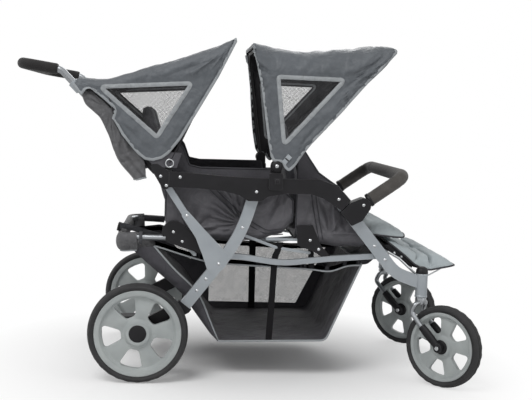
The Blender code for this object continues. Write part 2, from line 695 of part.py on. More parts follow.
def make_front_clamp(side_name, sign):
    """Moulded sleeve round the front leg, with a round nose about the bumper bar's pivot."""
    outline = arc(CLAMP_PIVOT, CLAMP_RADIUS, 95, -20, 9) + CLAMP_BACK[::-1]
    inner = FRAME_INNER - GAP - CLAMP_INNER_WALL
    clamp = side_plate("front_clamp_" + side_name, outline, inner, RAIL_OUTER, sign)
    run = (Vector(FRONT_LEG_BEND) - Vector(FRONT_LEG_TOP)).normalized() * 0.3
    ends = [tuple(Vector(FRONT_LEG_TOP) - run), tuple(Vector(FRONT_LEG_BEND) + run)]
    slot = side_plate("slot", strip_outline(ends, FRONT_LEG_WIDTH + 2 * GAP), FRAME_INNER - GAP,
                      FRAME_OUTER + GAP, sign)
    cut(clamp, slot)
    settle(clamp, CHASSIS, at(CLAMP_PIVOT, sign * FRAME_CENTRE), "black_plastic")


def make_lower_rail(side_name, sign):
    outline = strip_outline(rounded(LOWER_RAIL, 0.3, 3, closed=False), LOWER_RAIL_WIDTH)
    inner = BRACKET_OUTER - LOWER_RAIL_DEPTH
    rail = side_plate("lower_rail_" + side_name, outline, inner, BRACKET_OUTER, sign)
    settle(rail, CHASSIS, at(LOWER_RAIL[0], sign * BRACKET_OUTER), "silver")


def make_cross_tubes():
    half = FRAME_OUTER
    rear = rod("rear_cross_tube", CROSS_RADIUS, at(REAR_CROSS, -half), at(REAR_CROSS, half))
    settle(rear, CHASSIS, at(REAR_CROSS, 0), "silver")
    half = FRAME_INNER - GAP
    front = rod("front_cross_tube", CROSS_RADIUS, at(FRONT_CROSS, -half), at(FRONT_CROSS, half))
    settle(front, CHASSIS, at(FRONT_CROSS, 0), "silver")


def make_seat_brackets(side_name, sign):
    """Half-disc bracket on the rear cross tube, and a bracket that stands on the lower rail."""
    inner = BRACKET_OUTER - BRACKET_DEPTH
    centre = Vector(SEAT_BRACKET_CENTRE)
    eye = Vector(REAR_CROSS)
    run = (eye - centre).normalized()
    angle = math.degrees(math.atan2(run.y, run.x))
    body = arc(tuple(centre), SEAT_BRACKET_RADIUS, angle + 75, angle + 285, 14)
    end = arc(tuple(eye), SEAT_BRACKET_ARM / 2, angle - 80, angle + 80, 8)
    hole = circle(REAR_CROSS, CROSS_RADIUS + GAP)
    rear = side_plate("rear_seat_bracket_" + side_name, body + end, inner, BRACKET_OUTER, sign, [hole])
    settle(rear, CHASSIS, at(SEAT_BRACKET_CENTRE, sign * BRACKET_OUTER), "black_plastic")
    front = side_plate("front_seat_bracket_" + side_name, MID_BRACKET, inner, BRACKET_OUTER, sign)
    settle(front, CHASSIS, at(MID_BRACKET[0], sign * BRACKET_OUTER), "black_plastic")


def make_handle():
    pivot = at(HANDLE_PIVOT, 0)
    axis = empty_at("handle_axis", pivot, CHASSIS)
    far_end = (GRIP_END_X, GRIP_END_Z)
    run = (Vector(far_end) - Vector(HANDLE_BEND)).normalized()
    tube_end = tuple(Vector(HANDLE_BEND) + run * (HANDLE_BEND[0] - GRIP_START_X))
    start = tuple(Vector(tube_end) + run * GAP)
    for side_name, sign in SIDES:
        y = sign * HANDLE_CENTRE
        path = rounded([at(HANDLE_PIVOT, y), at(HANDLE_BEND, y), at(tube_end, y)], 0.02, 3, closed=False)
        pole = tube("handle_tube_" + side_name, path, HANDLE_TUBE_RADIUS, 3)
        settle(pole, axis, pivot, "silver", pivot)
    y = HANDLE_CENTRE
    corners = [at(start, -y), at(far_end, -y), at(far_end, y), at(start, y)]
    path = rounded(corners, GRIP_CORNER, 4, closed=False)
    grip = tube("handle_grip", path, GRIP_RADIUS, 3)
    settle(grip, axis, pivot, "foam", pivot)


def make_bumper():
    pivot = at(CLAMP_PIVOT, 0)
    axis = empty_at("bumper_axis", pivot, CHASSIS)
    run = (Vector(BUMPER_CORNER) - Vector(CLAMP_PIVOT)).normalized()
    start = tuple(Vector(CLAMP_PIVOT) + run * (CLAMP_RADIUS + GAP))
    y = FRAME_CENTRE
    path = rounded([at(start, -y), at(BUMPER_CORNER, -y), at(BUMPER_CORNER, y), at(start, y)],
                   BUMPER_CORNER_RADIUS, 4, closed=False)
    bar = tube("bumper_bar", path, BUMPER_RADIUS, 3)
    settle(bar, axis, pivot, "bumper_foam", pivot)


def seat_tub(name, outline, floor, origin, back_x):
    """Seat base with two side walls and a flat floor, with a seam across it in front of the back."""
    tub = plate(name, rounded(outline, 0.015, 2), -SEAT_HALF, SEAT_HALF)
    xs = [p[0] for p in outline]
    inner = SEAT_HALF - SEAT_WALL
    room = [(min(xs) - 0.1, floor), (max(xs) + 0.1, floor), (max(xs) + 0.1, 1.0), (min(xs) - 0.1, 1.0)]
    cut(tub, plate("room", room, -inner, inner))
    seam_rear = back_x + BACK_THICKNESS / 2 + SEAM_CLEARANCE
    seam_front = seam_rear + SEAM_WIDTH
    seam_top = floor + SEAM_DEPTH
    seam_middle = (seam_rear + seam_front) / 2
    seam = [(seam_rear, seam_top), (seam_middle, floor - SEAM_DEPTH), (seam_front, seam_top)]
    cut(tub, plate("seam", seam, -inner - GAP, inner + GAP))
    settle(tub, CHASSIS, origin, "seat")


def make_seats():
    rear_origin = (REAR_SEAT_X, 0, REAR_FLOOR)
    front_origin = (FRONT_SEAT_X, 0, FRONT_FLOOR)
    seat_tub("rear_seat", REAR_SEAT_OUTLINE, REAR_FLOOR, rear_origin, REAR_BACK_X)
    seat_tub("front_seat", FRONT_SEAT_OUTLINE, FRONT_FLOOR, front_origin, FRONT_BACK_X)
    rows = (("rear", REAR_BACK_X, REAR_FLOOR, REAR_BACK_TOP),
            ("front", FRONT_BACK_X, FRONT_FLOOR, FRONT_BACK_TOP))
    for row, x, floor, top in rows:
        for side_name, sign in SIDES:
            foot = (x, floor + BACK_THICKNESS / 2 + GAP)
            make_seat_back(row + "_seat_back_" + side_name, sign, foot, top)


def make_seat_back(name, sign, pivot, top):
    """A padded back with round ends, whose lower end turns about the recline pivot."""
    outline = strip_outline([pivot, top], BACK_THICKNESS, round_start=True, round_end=True)
    outer = SEAT_HALF - SEAT_WALL - 12 * GAP
    axis_point = at(pivot, sign * (outer + SEAT_CENTRE_GAP) / 2)
    axis = empty_at(name + "_axis", axis_point, CHASSIS)
    back = side_plate(name, outline, SEAT_CENTRE_GAP, outer, sign)
    settle(back, axis, axis_point, "seat", axis_point)


def beyond(start, end, factor):
    """The point past end, on the line from start, at factor times the run."""
    return tuple(Vector(start) + (Vector(end) - Vector(start)) * factor)


def make_basket():
    """Hopper with a floor, end walls and a far side wall; the near side and the top are open."""
    basket = plate("basket", BASKET_OUTLINE, -BASKET_HALF, BASKET_HALF)
    low_rear, low_front, top_front = BASKET_OUTLINE[:3]
    top_rear, middle_rear = BASKET_OUTLINE[-2:]
    tall = [low_rear, low_front, beyond(low_front, top_front, 1.4), beyond(middle_rear, top_rear, 1.4),
            middle_rear]
    inner = offset_outline(tall, -BASKET_WALL)
    cut(basket, plate("room", inner, -BASKET_HALF - 0.05, BASKET_HALF - BASKET_WALL))
    settle(basket, CHASSIS, at(BASKET_OUTLINE[0], 0), "basket")


def make_basket_bar():
    y = BRACKET_OUTER - BRACKET_DEPTH / 2
    drop = SEAT_BRACKET_CENTRE[1] - BASKET_BAR_Z - BASKET_BAR_RADIUS
    start = SEAT_BRACKET_CENTRE[0] - math.sqrt(SEAT_BRACKET_RADIUS ** 2 - drop ** 2) - GAP
    ends = (start, BASKET_BAR_Z)
    back = (BASKET_BAR_REAR, BASKET_BAR_Z)
    corners = [at(ends, -y), at(back, -y), at(back, y), at(ends, y)]
    path = rounded(corners, BASKET_BAR_CORNER, 4, closed=False)
    bar = tube("basket_bar", path, BASKET_BAR_RADIUS)
    settle(bar, CHASSIS, at(back, 0), "silver")


def make_footrests():
    calf = plate("calf_rest", rounded(CALF_OUTLINE, 0.004, 2), -FOOT_HALF, FOOT_HALF)
    settle(calf, CHASSIS, at(CALF_OUTLINE[1], 0), "pad")
    pivot = at(FRONT_CROSS, 0)
    for side_name, sign in SIDES:
        clear = CROSS_RADIUS + GAP
        strap_x = FRONT_CROSS[0] + clear
        strap = [(strap_x, FRONT_CROSS[1] - 0.010), (strap_x, FRONT_CROSS[1] + 0.014)]
        outline = rounded(strap + FOOT_OUTLINE, 0.004, 2)
        foot = side_plate("footrest_" + side_name, outline, FOOT_MIDDLE_GAP / 2, FOOT_HALF, sign)
        settle(foot, CHASSIS, pivot, "pad")


def bow(name, pivot, tip, y, lift=0.0):
    """A hoop from one side's pivot, up over the stroller, and down to the other side's pivot."""
    run = (Vector(tip) - Vector(pivot)).normalized()
    start = tuple(Vector(pivot) + run * lift)
    corners = [at(start, -y), at(tip, -y), at(tip, y), at(start, y)]
    path = rounded(corners, BOW_CORNER_RADIUS, 4, closed=False)
    return tube(name, path, BOW_RADIUS)


def canopy_cover(name, top, rest, window, sheet_inner):
    """A folded sheet: a roof from the top edge's second point on, and two side panels with windows."""
    outline = top + rest
    outer = sheet_inner + SHEET
    cover = plate(name, outline, -outer, outer)
    under = [(x, z - SHEET) for x, z in top[1:]]
    first = under[0]
    last = under[-1]
    room = [(first[0] - 0.10, first[1] + 0.10), (first[0], first[1] + 0.10), *under,
            (last[0] + 0.10, last[1] - 0.002), (last[0] + 0.10, 0.5), (first[0] - 0.10, 0.5)]
    cut(cover, plate("room", room, -sheet_inner, sheet_inner))
    cut(cover, plate("window", rounded(window, 0.006, 2), -outer - 0.02, outer + 0.02))
    return cover


def make_rear_canopy():
    pivot = at(EYELET, 0)
    axis = empty_at("rear_canopy_axis", pivot, CHASSIS)
    cover = canopy_cover("rear_canopy_cover", REAR_CANOPY_TOP, REAR_CANOPY_REST, REAR_WINDOW,
                         SHEET_INNER)
    settle(cover, axis, pivot, "canopy", pivot)
    drape_path = rounded(DRAPE_POINTS, 0.08, 2, closed=False)
    drape = plate("rear_drape", strip_outline(drape_path, DRAPE_THICKNESS), -DRAPE_HALF, DRAPE_HALF)
    settle(drape, axis, pivot, "canopy", pivot)
    inner = FRAME_OUTER + GAP
    outer = BOW_CENTRE - BOW_RADIUS - GAP
    for side_name, sign in SIDES:
        ring = circle(EYELET, EYELET_HUB_RADIUS)
        hub = side_plate("rear_canopy_hub_" + side_name, ring, inner, outer, sign)
        settle(hub, axis, pivot, "black_plastic", pivot)
    bow_axis = empty_at("rear_bow_axis", (0, 0, 0), axis)
    hoop = bow("rear_canopy_bow", EYELET, REAR_BOW_TIP, BOW_CENTRE)
    settle(hoop, bow_axis, pivot, "silver", pivot)


def make_front_canopy():
    pivot = at(CANOPY_PIVOT, 0)
    axis = empty_at("front_canopy_axis", pivot, CHASSIS)
    cover = canopy_cover("front_canopy_cover", FRONT_CANOPY_TOP, FRONT_CANOPY_REST, FRONT_WINDOW,
                         FRONT_SHEET_INNER)
    settle(cover, axis, pivot, "canopy", pivot)
    hoop = bow("front_canopy_rear_bow", CANOPY_PIVOT, FRONT_REAR_BOW_TIP, BOW_CENTRE)
    discs = []
    for side_name, sign in SIDES:
        disc = circle(CANOPY_PIVOT, HUB_DISC_RADIUS)
        discs.append(side_plate("disc", disc, BOW_CENTRE, HUB_DISC_OUTER, sign))
    join(hoop, *discs)
    settle(hoop, axis, pivot, "silver", pivot)
    bow_axis = empty_at("front_bow_axis", (0, 0, 0), axis)
    visor = bow("front_canopy_front_bow", CANOPY_PIVOT, FRONT_BOW_TIP, FRONT_BOW_CENTRE,
                HUB_DISC_RADIUS + GAP)
    settle(visor, bow_axis, pivot, "silver", pivot)


def make_brake():
    pivot = (0, 0, REAR_RADIUS)
    axis = empty_at("brake_axis", pivot, CHASSIS)
    bore = AXLE_TUBE_RADIUS + GAP
    ring = arc((0, REAR_RADIUS), bore + BRAKE_RING, 230, -10, 14)
    tip = -BRAKE_LENGTH
    outline = ring + [(0.004, REAR_RADIUS - bore - BRAKE_RING), (tip, REAR_RADIUS - 0.030),
                      (tip, REAR_RADIUS - 0.030 + BRAKE_THICKNESS)]
    half = BRAKE_WIDTH / 2
    pedal = plate("brake_pedal", outline, -half, half, [circle((0, REAR_RADIUS), bore)])
    settle(pedal, axis, pivot, "black_plastic", pivot)


make_rear_axle()
make_rear_wheels()
for side, direction in SIDES:
    make_rear_leg(side, direction)
    make_axle_bracket(side, direction)
    make_gusset(side, direction)
    make_upright(side, direction)
    make_fold_joint(side, direction)
    make_side_rail(side, direction)
    make_front_leg(side, direction)
    make_front_clamp(side, direction)
    make_lower_rail(side, direction)
    make_seat_brackets(side, direction)
    make_castor(side, direction)
make_cross_tubes()
make_handle()
make_bumper()
make_seats()
make_basket()
make_basket_bar()
make_footrests()
make_rear_canopy()
make_front_canopy()
make_brake()
bpy.context.view_layer.update()
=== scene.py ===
import math

import bmesh
import bpy
from mathutils import Matrix, Vector, noise


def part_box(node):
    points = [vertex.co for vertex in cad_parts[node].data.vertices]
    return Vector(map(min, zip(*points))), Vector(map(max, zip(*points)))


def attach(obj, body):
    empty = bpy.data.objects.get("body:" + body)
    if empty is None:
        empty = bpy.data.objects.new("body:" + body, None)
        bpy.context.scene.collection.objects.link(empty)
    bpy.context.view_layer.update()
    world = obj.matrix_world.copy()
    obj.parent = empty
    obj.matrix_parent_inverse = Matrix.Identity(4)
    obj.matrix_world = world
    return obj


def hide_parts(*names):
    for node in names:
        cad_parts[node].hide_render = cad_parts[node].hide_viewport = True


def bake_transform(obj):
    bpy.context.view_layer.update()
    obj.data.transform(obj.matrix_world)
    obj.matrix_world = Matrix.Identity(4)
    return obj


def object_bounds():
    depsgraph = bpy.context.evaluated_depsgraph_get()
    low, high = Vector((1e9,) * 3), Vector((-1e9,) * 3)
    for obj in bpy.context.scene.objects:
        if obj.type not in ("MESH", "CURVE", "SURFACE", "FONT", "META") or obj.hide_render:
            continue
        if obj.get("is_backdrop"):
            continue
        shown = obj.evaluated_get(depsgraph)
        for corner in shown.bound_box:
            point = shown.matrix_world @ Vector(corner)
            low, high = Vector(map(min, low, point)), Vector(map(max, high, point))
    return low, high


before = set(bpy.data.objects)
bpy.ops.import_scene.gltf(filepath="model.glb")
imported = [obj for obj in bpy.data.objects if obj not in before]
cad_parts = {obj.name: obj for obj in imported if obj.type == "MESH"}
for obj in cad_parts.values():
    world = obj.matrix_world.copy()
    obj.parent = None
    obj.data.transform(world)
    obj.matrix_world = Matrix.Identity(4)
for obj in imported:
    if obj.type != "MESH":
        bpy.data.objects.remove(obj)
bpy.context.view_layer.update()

scene = bpy.context.scene
scene.view_settings.view_transform = "Standard"

# Plan points below are in metres from the rear axle: x forward, y to the far side, z up.
axleLow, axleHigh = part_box("rear_axle")
home = Vector(((axleLow.x + axleHigh.x) / 2, (axleLow.y + axleHigh.y) / 2, 0))
sides = (("near", -1), ("far", 1))
print("stage: frame loaded")


cameraPlan = {"place": (-0.206708, -3.310035, 0.824709), "yaw": 0.0828461, "pitch": 0.0847756,
              "roll": 0.0355074, "lens": 67.334, "sensor": 36}
worldLight = 0.4
lampPlan = {  # place, target, width of the disk and watts
    "keyLamp": ((-1.3, -2.1, 3.2), (0, 0, 0.4), 1.8, 64),
    "fillLamp": ((2.6, -2.2, 1.6), (0, 0, 0.5), 2.0, 16),
    "backLamp": ((0.3, 2.6, 2.6), (0, 0, 0.5), 2.0, 30),
}


def makeCamera():
    yaw, pitch, roll = cameraPlan["yaw"], cameraPlan["pitch"], cameraPlan["roll"]
    ahead = Vector((math.sin(yaw) * math.cos(pitch), math.cos(yaw) * math.cos(pitch), -math.sin(pitch)))
    right = Vector((math.cos(yaw), -math.sin(yaw), 0))
    up = right.cross(ahead)
    across = right * math.cos(roll) + up * math.sin(roll)
    upward = up * math.cos(roll) - right * math.sin(roll)
    data = bpy.data.cameras.new("photoCamera")
    data.lens = cameraPlan["lens"]
    data.sensor_width = cameraPlan["sensor"]
    data.sensor_fit = "HORIZONTAL"
    camera = bpy.data.objects.new("photoCamera", data)
    turn = Matrix((across, upward, -ahead)).transposed().to_4x4()
    camera.matrix_world = Matrix.Translation(cameraPlan["place"]) @ turn
    scene.collection.objects.link(camera)
    scene.camera = camera


def addLamp(name, place, target, size, power):
    data = bpy.data.lights.new(name, "AREA")
    data.shape = "DISK"
    data.size = size
    data.energy = power
    lamp = bpy.data.objects.new(name, data)
    lamp.location = place
    lamp.rotation_euler = (Vector(target) - Vector(place)).to_track_quat("-Z", "Y").to_euler()
    scene.collection.objects.link(lamp)


def setNode(tree, node, settings=None, links=None):
    for key, value in (settings or {}).items():
        if isinstance(key, int) or key in node.inputs:
            node.inputs[key].default_value = value
        else:
            setattr(node, key, value)
    for key, source in (links or {}).items():  # a node stands for its first output
        tree.links.new(source.outputs[0] if isinstance(source, bpy.types.Node) else source, node.inputs[key])
    return node


def addNode(tree, kind, settings=None, links=None):
    return setNode(tree, tree.nodes.new("ShaderNode" + kind), settings, links)


def linear(hexColour):  # sRGB hex to linear RGBA
    parts = [int(hexColour[i:i + 2], 16) / 255 for i in (0, 2, 4)]
    return (*[((c + 0.055) / 1.055) ** 2.4 if c > 0.04045 else c / 12.92 for c in parts], 1.0)


def makeStudio():
    world = bpy.data.worlds.new("paleStudio")
    scene.world = world
    world.use_nodes = True
    tree = world.node_tree
    tree.nodes.clear()
    path = addNode(tree, "LightPath")
    seen = addNode(tree, "Math", {"operation": "MAXIMUM"},
                   {0: path.outputs["Is Camera Ray"], 1: path.outputs["Is Glossy Ray"]})
    seen = addNode(tree, "Math", {"operation": "MAXIMUM"}, {0: seen, 1: path.outputs["Is Transmission Ray"]})
    level = addNode(tree, "Mix", {"data_type": "FLOAT", 2: worldLight, 3: 1.0}, {0: seen})
    glow = addNode(tree, "Background", {"Color": (1, 1, 1, 1)}, {"Strength": level})
    addNode(tree, "OutputWorld", None, {"Surface": glow})
    for name, settings in lampPlan.items():
        addLamp(name, *settings)


def makeFloor():
    # matt studio floor; past the object it fades into the white background
    bm = bmesh.new()
    bmesh.ops.create_grid(bm, x_segments=1, y_segments=1, size=9)
    mesh = bpy.data.meshes.new("floor")
    bm.to_mesh(mesh)
    bm.free()
    floor = bpy.data.objects.new("floor", mesh)
    scene.collection.objects.link(floor)
    material = bpy.data.materials.new("matt white studio floor")
    material.use_nodes = True
    tree = material.node_tree
    tree.nodes.clear()
    place = addNode(tree, "TexCoord")
    reach = addNode(tree, "VectorMath", {"operation": "LENGTH"}, {0: place.outputs["Object"]})
    fade = addNode(tree, "MapRange", {"From Min": 0.28, "From Max": 0.95}, {0: reach.outputs["Value"]})
    matt = addNode(tree, "BsdfDiffuse", {"Color": linear("FAFAFA")})
    glow = addNode(tree, "Emission", {"Color": (1, 1, 1, 1), "Strength": 1.0})
    path = addNode(tree, "LightPath")
    share = addNode(tree, "Math", {"operation": "MULTIPLY"}, {0: fade, 1: path.outputs["Is Camera Ray"]})
    mixed = addNode(tree, "MixShader", None, {0: share, 1: matt, 2: glow})
    addNode(tree, "OutputMaterial", None, {"Surface": mixed})
    mesh.materials.append(material)
    floor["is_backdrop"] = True


makeCamera()
makeStudio()
makeFloor()
print("stage: camera, lamps and floor")


def startMaterial(name):
    material = bpy.data.materials.new(name)
    material.use_nodes = True
    tree = material.node_tree
    return material, tree, tree.nodes["Principled BSDF"], addNode(tree, "TexCoord").outputs


def bandScale(millimetres):  # Wave texture scale that repeats its bands at this spacing
    return 0.31416 / (millimetres / 1000)


def wovenCloth(name, plain, light, dark, thread, roughness, sheen, crease, coordinates="UV"):
    # colour drifts between three shades, a plain weave and soft creases are in the bump
    material, tree, shader, coords = startMaterial(name)
    source, solid = coords[coordinates], coords["Object"]
    broad = addNode(tree, "TexNoise", {"Scale": 9.0, "Detail": 3.0, "Roughness": 0.55}, {"Vector": solid})
    rubbed = addNode(tree, "TexNoise", {"Scale": 70.0, "Detail": 2.0}, {"Vector": solid})
    broadShare = addNode(tree, "MapRange", {"From Min": 0.2, "From Max": 0.62, "To Min": 0.45},
                         {0: broad.outputs["Fac"]})
    rubbedShare = addNode(tree, "MapRange", {"From Min": 0.45, "From Max": 0.75, "To Max": 0.22},
                          {0: rubbed.outputs["Fac"]})
    shade = addNode(tree, "Mix", {"data_type": "RGBA", 6: linear(dark), 7: linear(plain)}, {0: broadShare})
    shade = addNode(tree, "Mix", {"data_type": "RGBA", 7: linear(light)},
                    {0: rubbedShare, 6: shade.outputs[2]})
    warp = addNode(tree, "TexWave", {"bands_direction": "X", "Scale": bandScale(thread), "Distortion": 0.4},
                   {"Vector": source})
    weft = addNode(tree, "TexWave", {"bands_direction": "Y", "Scale": bandScale(thread), "Distortion": 0.4},
                   {"Vector": source})
    weave = addNode(tree, "Math", {"operation": "MAXIMUM"}, {0: warp.outputs["Fac"], 1: weft.outputs["Fac"]})
    dim = addNode(tree, "MapRange", {"To Max": 0.22}, {0: weave})
    shade = addNode(tree, "Mix", {"data_type": "RGBA", 7: linear(light)}, {0: dim, 6: shade.outputs[2]})
    fold = addNode(tree, "TexNoise", {"Scale": 26.0, "Detail": 4.0, "Roughness": 0.5, "Distortion": 0.8},
                   {"Vector": solid})
    creased = addNode(tree, "Bump", {"Strength": crease, "Distance": 0.012}, {"Height": fold.outputs["Fac"]})
    woven = addNode(tree, "Bump", {"Strength": 0.35, "Distance": 0.0004},
                    {"Height": weave, "Normal": creased})
    worn = addNode(tree, "MapRange", {"To Min": roughness - 0.08, "To Max": roughness + 0.07},
                   {0: rubbed.outputs["Fac"]})
    setNode(tree, shader, {"Sheen Weight": sheen, "Sheen Roughness": 0.45, "Specular IOR Level": 0.35},
            {"Base Color": shade.outputs[2], "Normal": woven, "Roughness": worn})
    return material


def openNet(name, colour, dim, pitch, cover):
    # knitted polyester net: round threads with open eyes between them, drawn a little coarse
    material, tree, shader, coords = startMaterial(name)
    turned = addNode(tree, "Mapping", {"Rotation": (0, math.radians(45), 0)}, {"Vector": coords["Object"]})
    one = addNode(tree, "TexWave", {"bands_direction": "X", "Scale": bandScale(pitch)}, {"Vector": turned})
    two = addNode(tree, "TexWave", {"bands_direction": "Z", "Scale": bandScale(pitch)}, {"Vector": turned})
    cross = addNode(tree, "Math", {"operation": "MAXIMUM"}, {0: one.outputs["Fac"], 1: two.outputs["Fac"]})
    thread = addNode(tree, "MapRange", {"From Min": 0.93 - cover, "From Max": 1.0 - cover}, {0: cross})
    drift = addNode(tree, "TexNoise", {"Scale": 30.0, "Detail": 3.0}, {"Vector": coords["Object"]})
    patches = addNode(tree, "MapRange", {"From Min": 0.4, "From Max": 0.6}, {0: drift.outputs["Fac"]})
    shade = addNode(tree, "Mix", {"data_type": "RGBA", 6: linear(colour), 7: linear(dim)}, {0: patches})
    setNode(tree, shader, {"Roughness": 0.8}, {"Alpha": thread, "Base Color": shade.outputs[2]})
    material.use_transparent_shadow = True
    return material


def wornAndLitEdges(tree, radius, low, high):  # 0 on flats, 1 along edges: rubbed wear and a painted highlight
    soft = addNode(tree, "Bevel", {"samples": 4, "Radius": radius})
    plain = addNode(tree, "NewGeometry")
    alike = addNode(tree, "VectorMath", {"operation": "DOT_PRODUCT"}, {0: soft, 1: plain.outputs["Normal"]})
    return addNode(tree, "MapRange", {"From Min": high, "From Max": low}, {0: alike.outputs["Value"]})


def paintedMetal(name, colour, light, roughness, metallic):
    # fine sparkle in a satin coat, rubbed lighter in patches; its edges are lighter, partly rubbed wear and
    # partly a painted highlight
    material, tree, shader, coords = startMaterial(name)
    speck = addNode(tree, "TexNoise", {"Scale": 900.0, "Detail": 1.0}, {"Vector": coords["Object"]})
    patch = addNode(tree, "TexNoise", {"Scale": 14.0, "Detail": 3.0}, {"Vector": coords["Object"]})
    share = addNode(tree, "MapRange", {"From Min": 0.35, "From Max": 0.75, "To Max": 0.6},
                    {0: patch.outputs["Fac"]})
    shade = addNode(tree, "Mix", {"data_type": "RGBA", 6: linear(colour), 7: linear(light)}, {0: share})
    # the edges are painted towards pale silver: rubbed wear and a painted highlight along them
    worn = wornAndLitEdges(tree, 0.0015, 0.9, 0.999)
    rubbed = addNode(tree, "Math", {"operation": "MULTIPLY", 1: 0.55}, {0: worn})
    shade = addNode(tree, "Mix", {"data_type": "RGBA", 7: linear("D2D4D6")},
                    {0: rubbed, 6: shade.outputs[2]})
    rough = addNode(tree, "MapRange", {"To Min": roughness - 0.06, "To Max": roughness + 0.08},
                    {0: patch.outputs["Fac"]})
    grain = addNode(tree, "Bump", {"Strength": 0.12, "Distance": 0.0002}, {"Height": speck.outputs["Fac"]})
    setNode(tree, shader, {"Metallic": metallic}, {"Base Color": shade.outputs[2], "Roughness": rough,
                                                   "Normal": grain})
    return material


def mouldedPlastic(name, colour, light, roughness, grain):
    # spark-eroded mould grain, faint flow marks and edges polished by handling, which are painted a little
    # lighter as wear and as a painted highlight
    material, tree, shader, coords = startMaterial(name)
    speck = addNode(tree, "TexNoise", {"Scale": 1000.0 / grain, "Detail": 2.0}, {"Vector": coords["Object"]})
    flow = addNode(tree, "TexNoise", {"Scale": 8.0, "Detail": 2.0, "Distortion": 1.5},
                   {"Vector": coords["Object"]})
    share = addNode(tree, "MapRange", {"From Min": 0.4, "From Max": 0.7}, {0: flow.outputs["Fac"]})
    shade = addNode(tree, "Mix", {"data_type": "RGBA", 6: linear(colour), 7: linear(light)}, {0: share})
    # the edges are painted a little lighter: handling wear and a painted highlight
    worn = wornAndLitEdges(tree, 0.0015, 0.88, 0.998)
    rubbed = addNode(tree, "Math", {"operation": "MULTIPLY", 1: 0.16}, {0: worn})
    shade = addNode(tree, "Mix", {"data_type": "RGBA", 7: linear("A8A8AA")},
                    {0: rubbed, 6: shade.outputs[2]})
    rough = addNode(tree, "MapRange", {"To Min": roughness - 0.07, "To Max": roughness + 0.07},
                    {0: speck.outputs["Fac"]})
    bump = addNode(tree, "Bump", {"Strength": 0.25, "Distance": 0.0003}, {"Height": speck.outputs["Fac"]})
    setNode(tree, shader, {"Specular IOR Level": 0.28}, {"Base Color": shade.outputs[2], "Roughness": rough,
                                                         "Normal": bump})
    return material


def softFoam(name, colour, light, cell):
    # closed-cell foam skin: dull, with small cells and rubbed paler spots
    material, tree, shader, coords = startMaterial(name)
    cells = addNode(tree, "TexVoronoi", {"Scale": 1000.0 / cell}, {"Vector": coords["Object"]})
    rub = addNode(tree, "TexNoise", {"Scale": 35.0, "Detail": 4.0}, {"Vector": coords["Object"]})
    share = addNode(tree, "MapRange", {"From Min": 0.4, "From Max": 0.72}, {0: rub.outputs["Fac"]})
    shade = addNode(tree, "Mix", {"data_type": "RGBA", 6: linear(colour), 7: linear(light)}, {0: share})
    pits = addNode(tree, "Bump", {"Strength": 0.3, "Distance": 0.0006},
                   {"Height": cells.outputs["Distance"]})
    soft = addNode(tree, "Bump", {"Strength": 0.35, "Distance": 0.003},
                   {"Height": rub.outputs["Fac"], "Normal": pits})
    setNode(tree, shader, {"Roughness": 0.88, "Sheen Weight": 0.15},
            {"Base Color": shade.outputs[2], "Normal": soft})
    return material


def ribbedWebbing(name, colour, light, rib):
    # woven polyester tape with ribs along its length; UV x runs across the tape
    material, tree, shader, coords = startMaterial(name)
    ribs = addNode(tree, "TexWave", {"bands_direction": "X", "Scale": bandScale(rib)},
                   {"Vector": coords["UV"]})
    picks = addNode(tree, "TexWave", {"bands_direction": "Y", "Scale": bandScale(rib * 0.6)},
                    {"Vector": coords["UV"]})
    both = addNode(tree, "Math", {"operation": "MULTIPLY"},
                   {0: ribs.outputs["Fac"], 1: picks.outputs["Fac"]})
    shade = addNode(tree, "Mix", {"data_type": "RGBA", 6: linear(colour), 7: linear(light)}, {0: both})
    bump = addNode(tree, "Bump", {"Strength": 0.4, "Distance": 0.0005}, {"Height": ribs.outputs["Fac"]})
    setNode(tree, shader, {"Roughness": 0.75, "Specular IOR Level": 0.15},
            {"Base Color": shade.outputs[2], "Normal": bump})
    return material


def treadRubber(name):
    # vulcanised rubber: near black, matt, with a dusty bloom in patches
    material, tree, shader, coords = startMaterial(name)
    bloom = addNode(tree, "TexNoise", {"Scale": 22.0, "Detail": 5.0}, {"Vector": coords["Object"]})
    share = addNode(tree, "MapRange", {"From Min": 0.42, "From Max": 0.75, "To Max": 0.7},
                    {0: bloom.outputs["Fac"]})
    shade = addNode(tree, "Mix", {"data_type": "RGBA", 6: linear("1F1F20"), 7: linear("39383A")}, {0: share})
    rough = addNode(tree, "MapRange", {"To Min": 0.62, "To Max": 0.82}, {0: bloom.outputs["Fac"]})
    fine = addNode(tree, "TexNoise", {"Scale": 600.0, "Detail": 2.0}, {"Vector": coords["Object"]})
    bump = addNode(tree, "Bump", {"Strength": 0.2, "Distance": 0.0004}, {"Height": fine.outputs["Fac"]})
    setNode(tree, shader, None, {"Base Color": shade.outputs[2], "Roughness": rough, "Normal": bump})
    return material


# 210 denier coated nylon is woven at 0.3 mm; drawn at 2 mm so that it shows
canopyNylon = wovenCloth("coated nylon taffeta, blue grey", "52565B", "757A7E", "3B3E42", 2.0, 0.46, 0.08,
                         0.55)
canopyLining = wovenCloth("nylon lining, charcoal", "1F1E21", "29282B", "161517", 2.0, 0.75, 0.06, 0.4)
drapeNylon = wovenCloth("coated nylon taffeta, grey", "58585A", "6E6E70", "434345", 2.0, 0.55, 0.1, 0.8)
seatCloth = wovenCloth("polyester oxford cloth, charcoal", "565559", "77767B", "3E3D41", 2.4, 0.6, 0.12,
                       0.22, "Object")
sideCloth = wovenCloth("polyester oxford cloth, black", "454448", "55545A", "333236", 2.4, 0.66, 0.1, 0.3,
                       "Object")
seatPadCloth = wovenCloth("polyester oxford cloth, padded", "45454A", "5A5B61", "333236", 2.4, 0.76, 0.12,
                          0.5, "Object")
headPadCloth = wovenCloth("brushed polyester, grey", "74797C", "868B8E", "606568", 2.0, 0.8, 0.15, 0.4,
                          "Object")
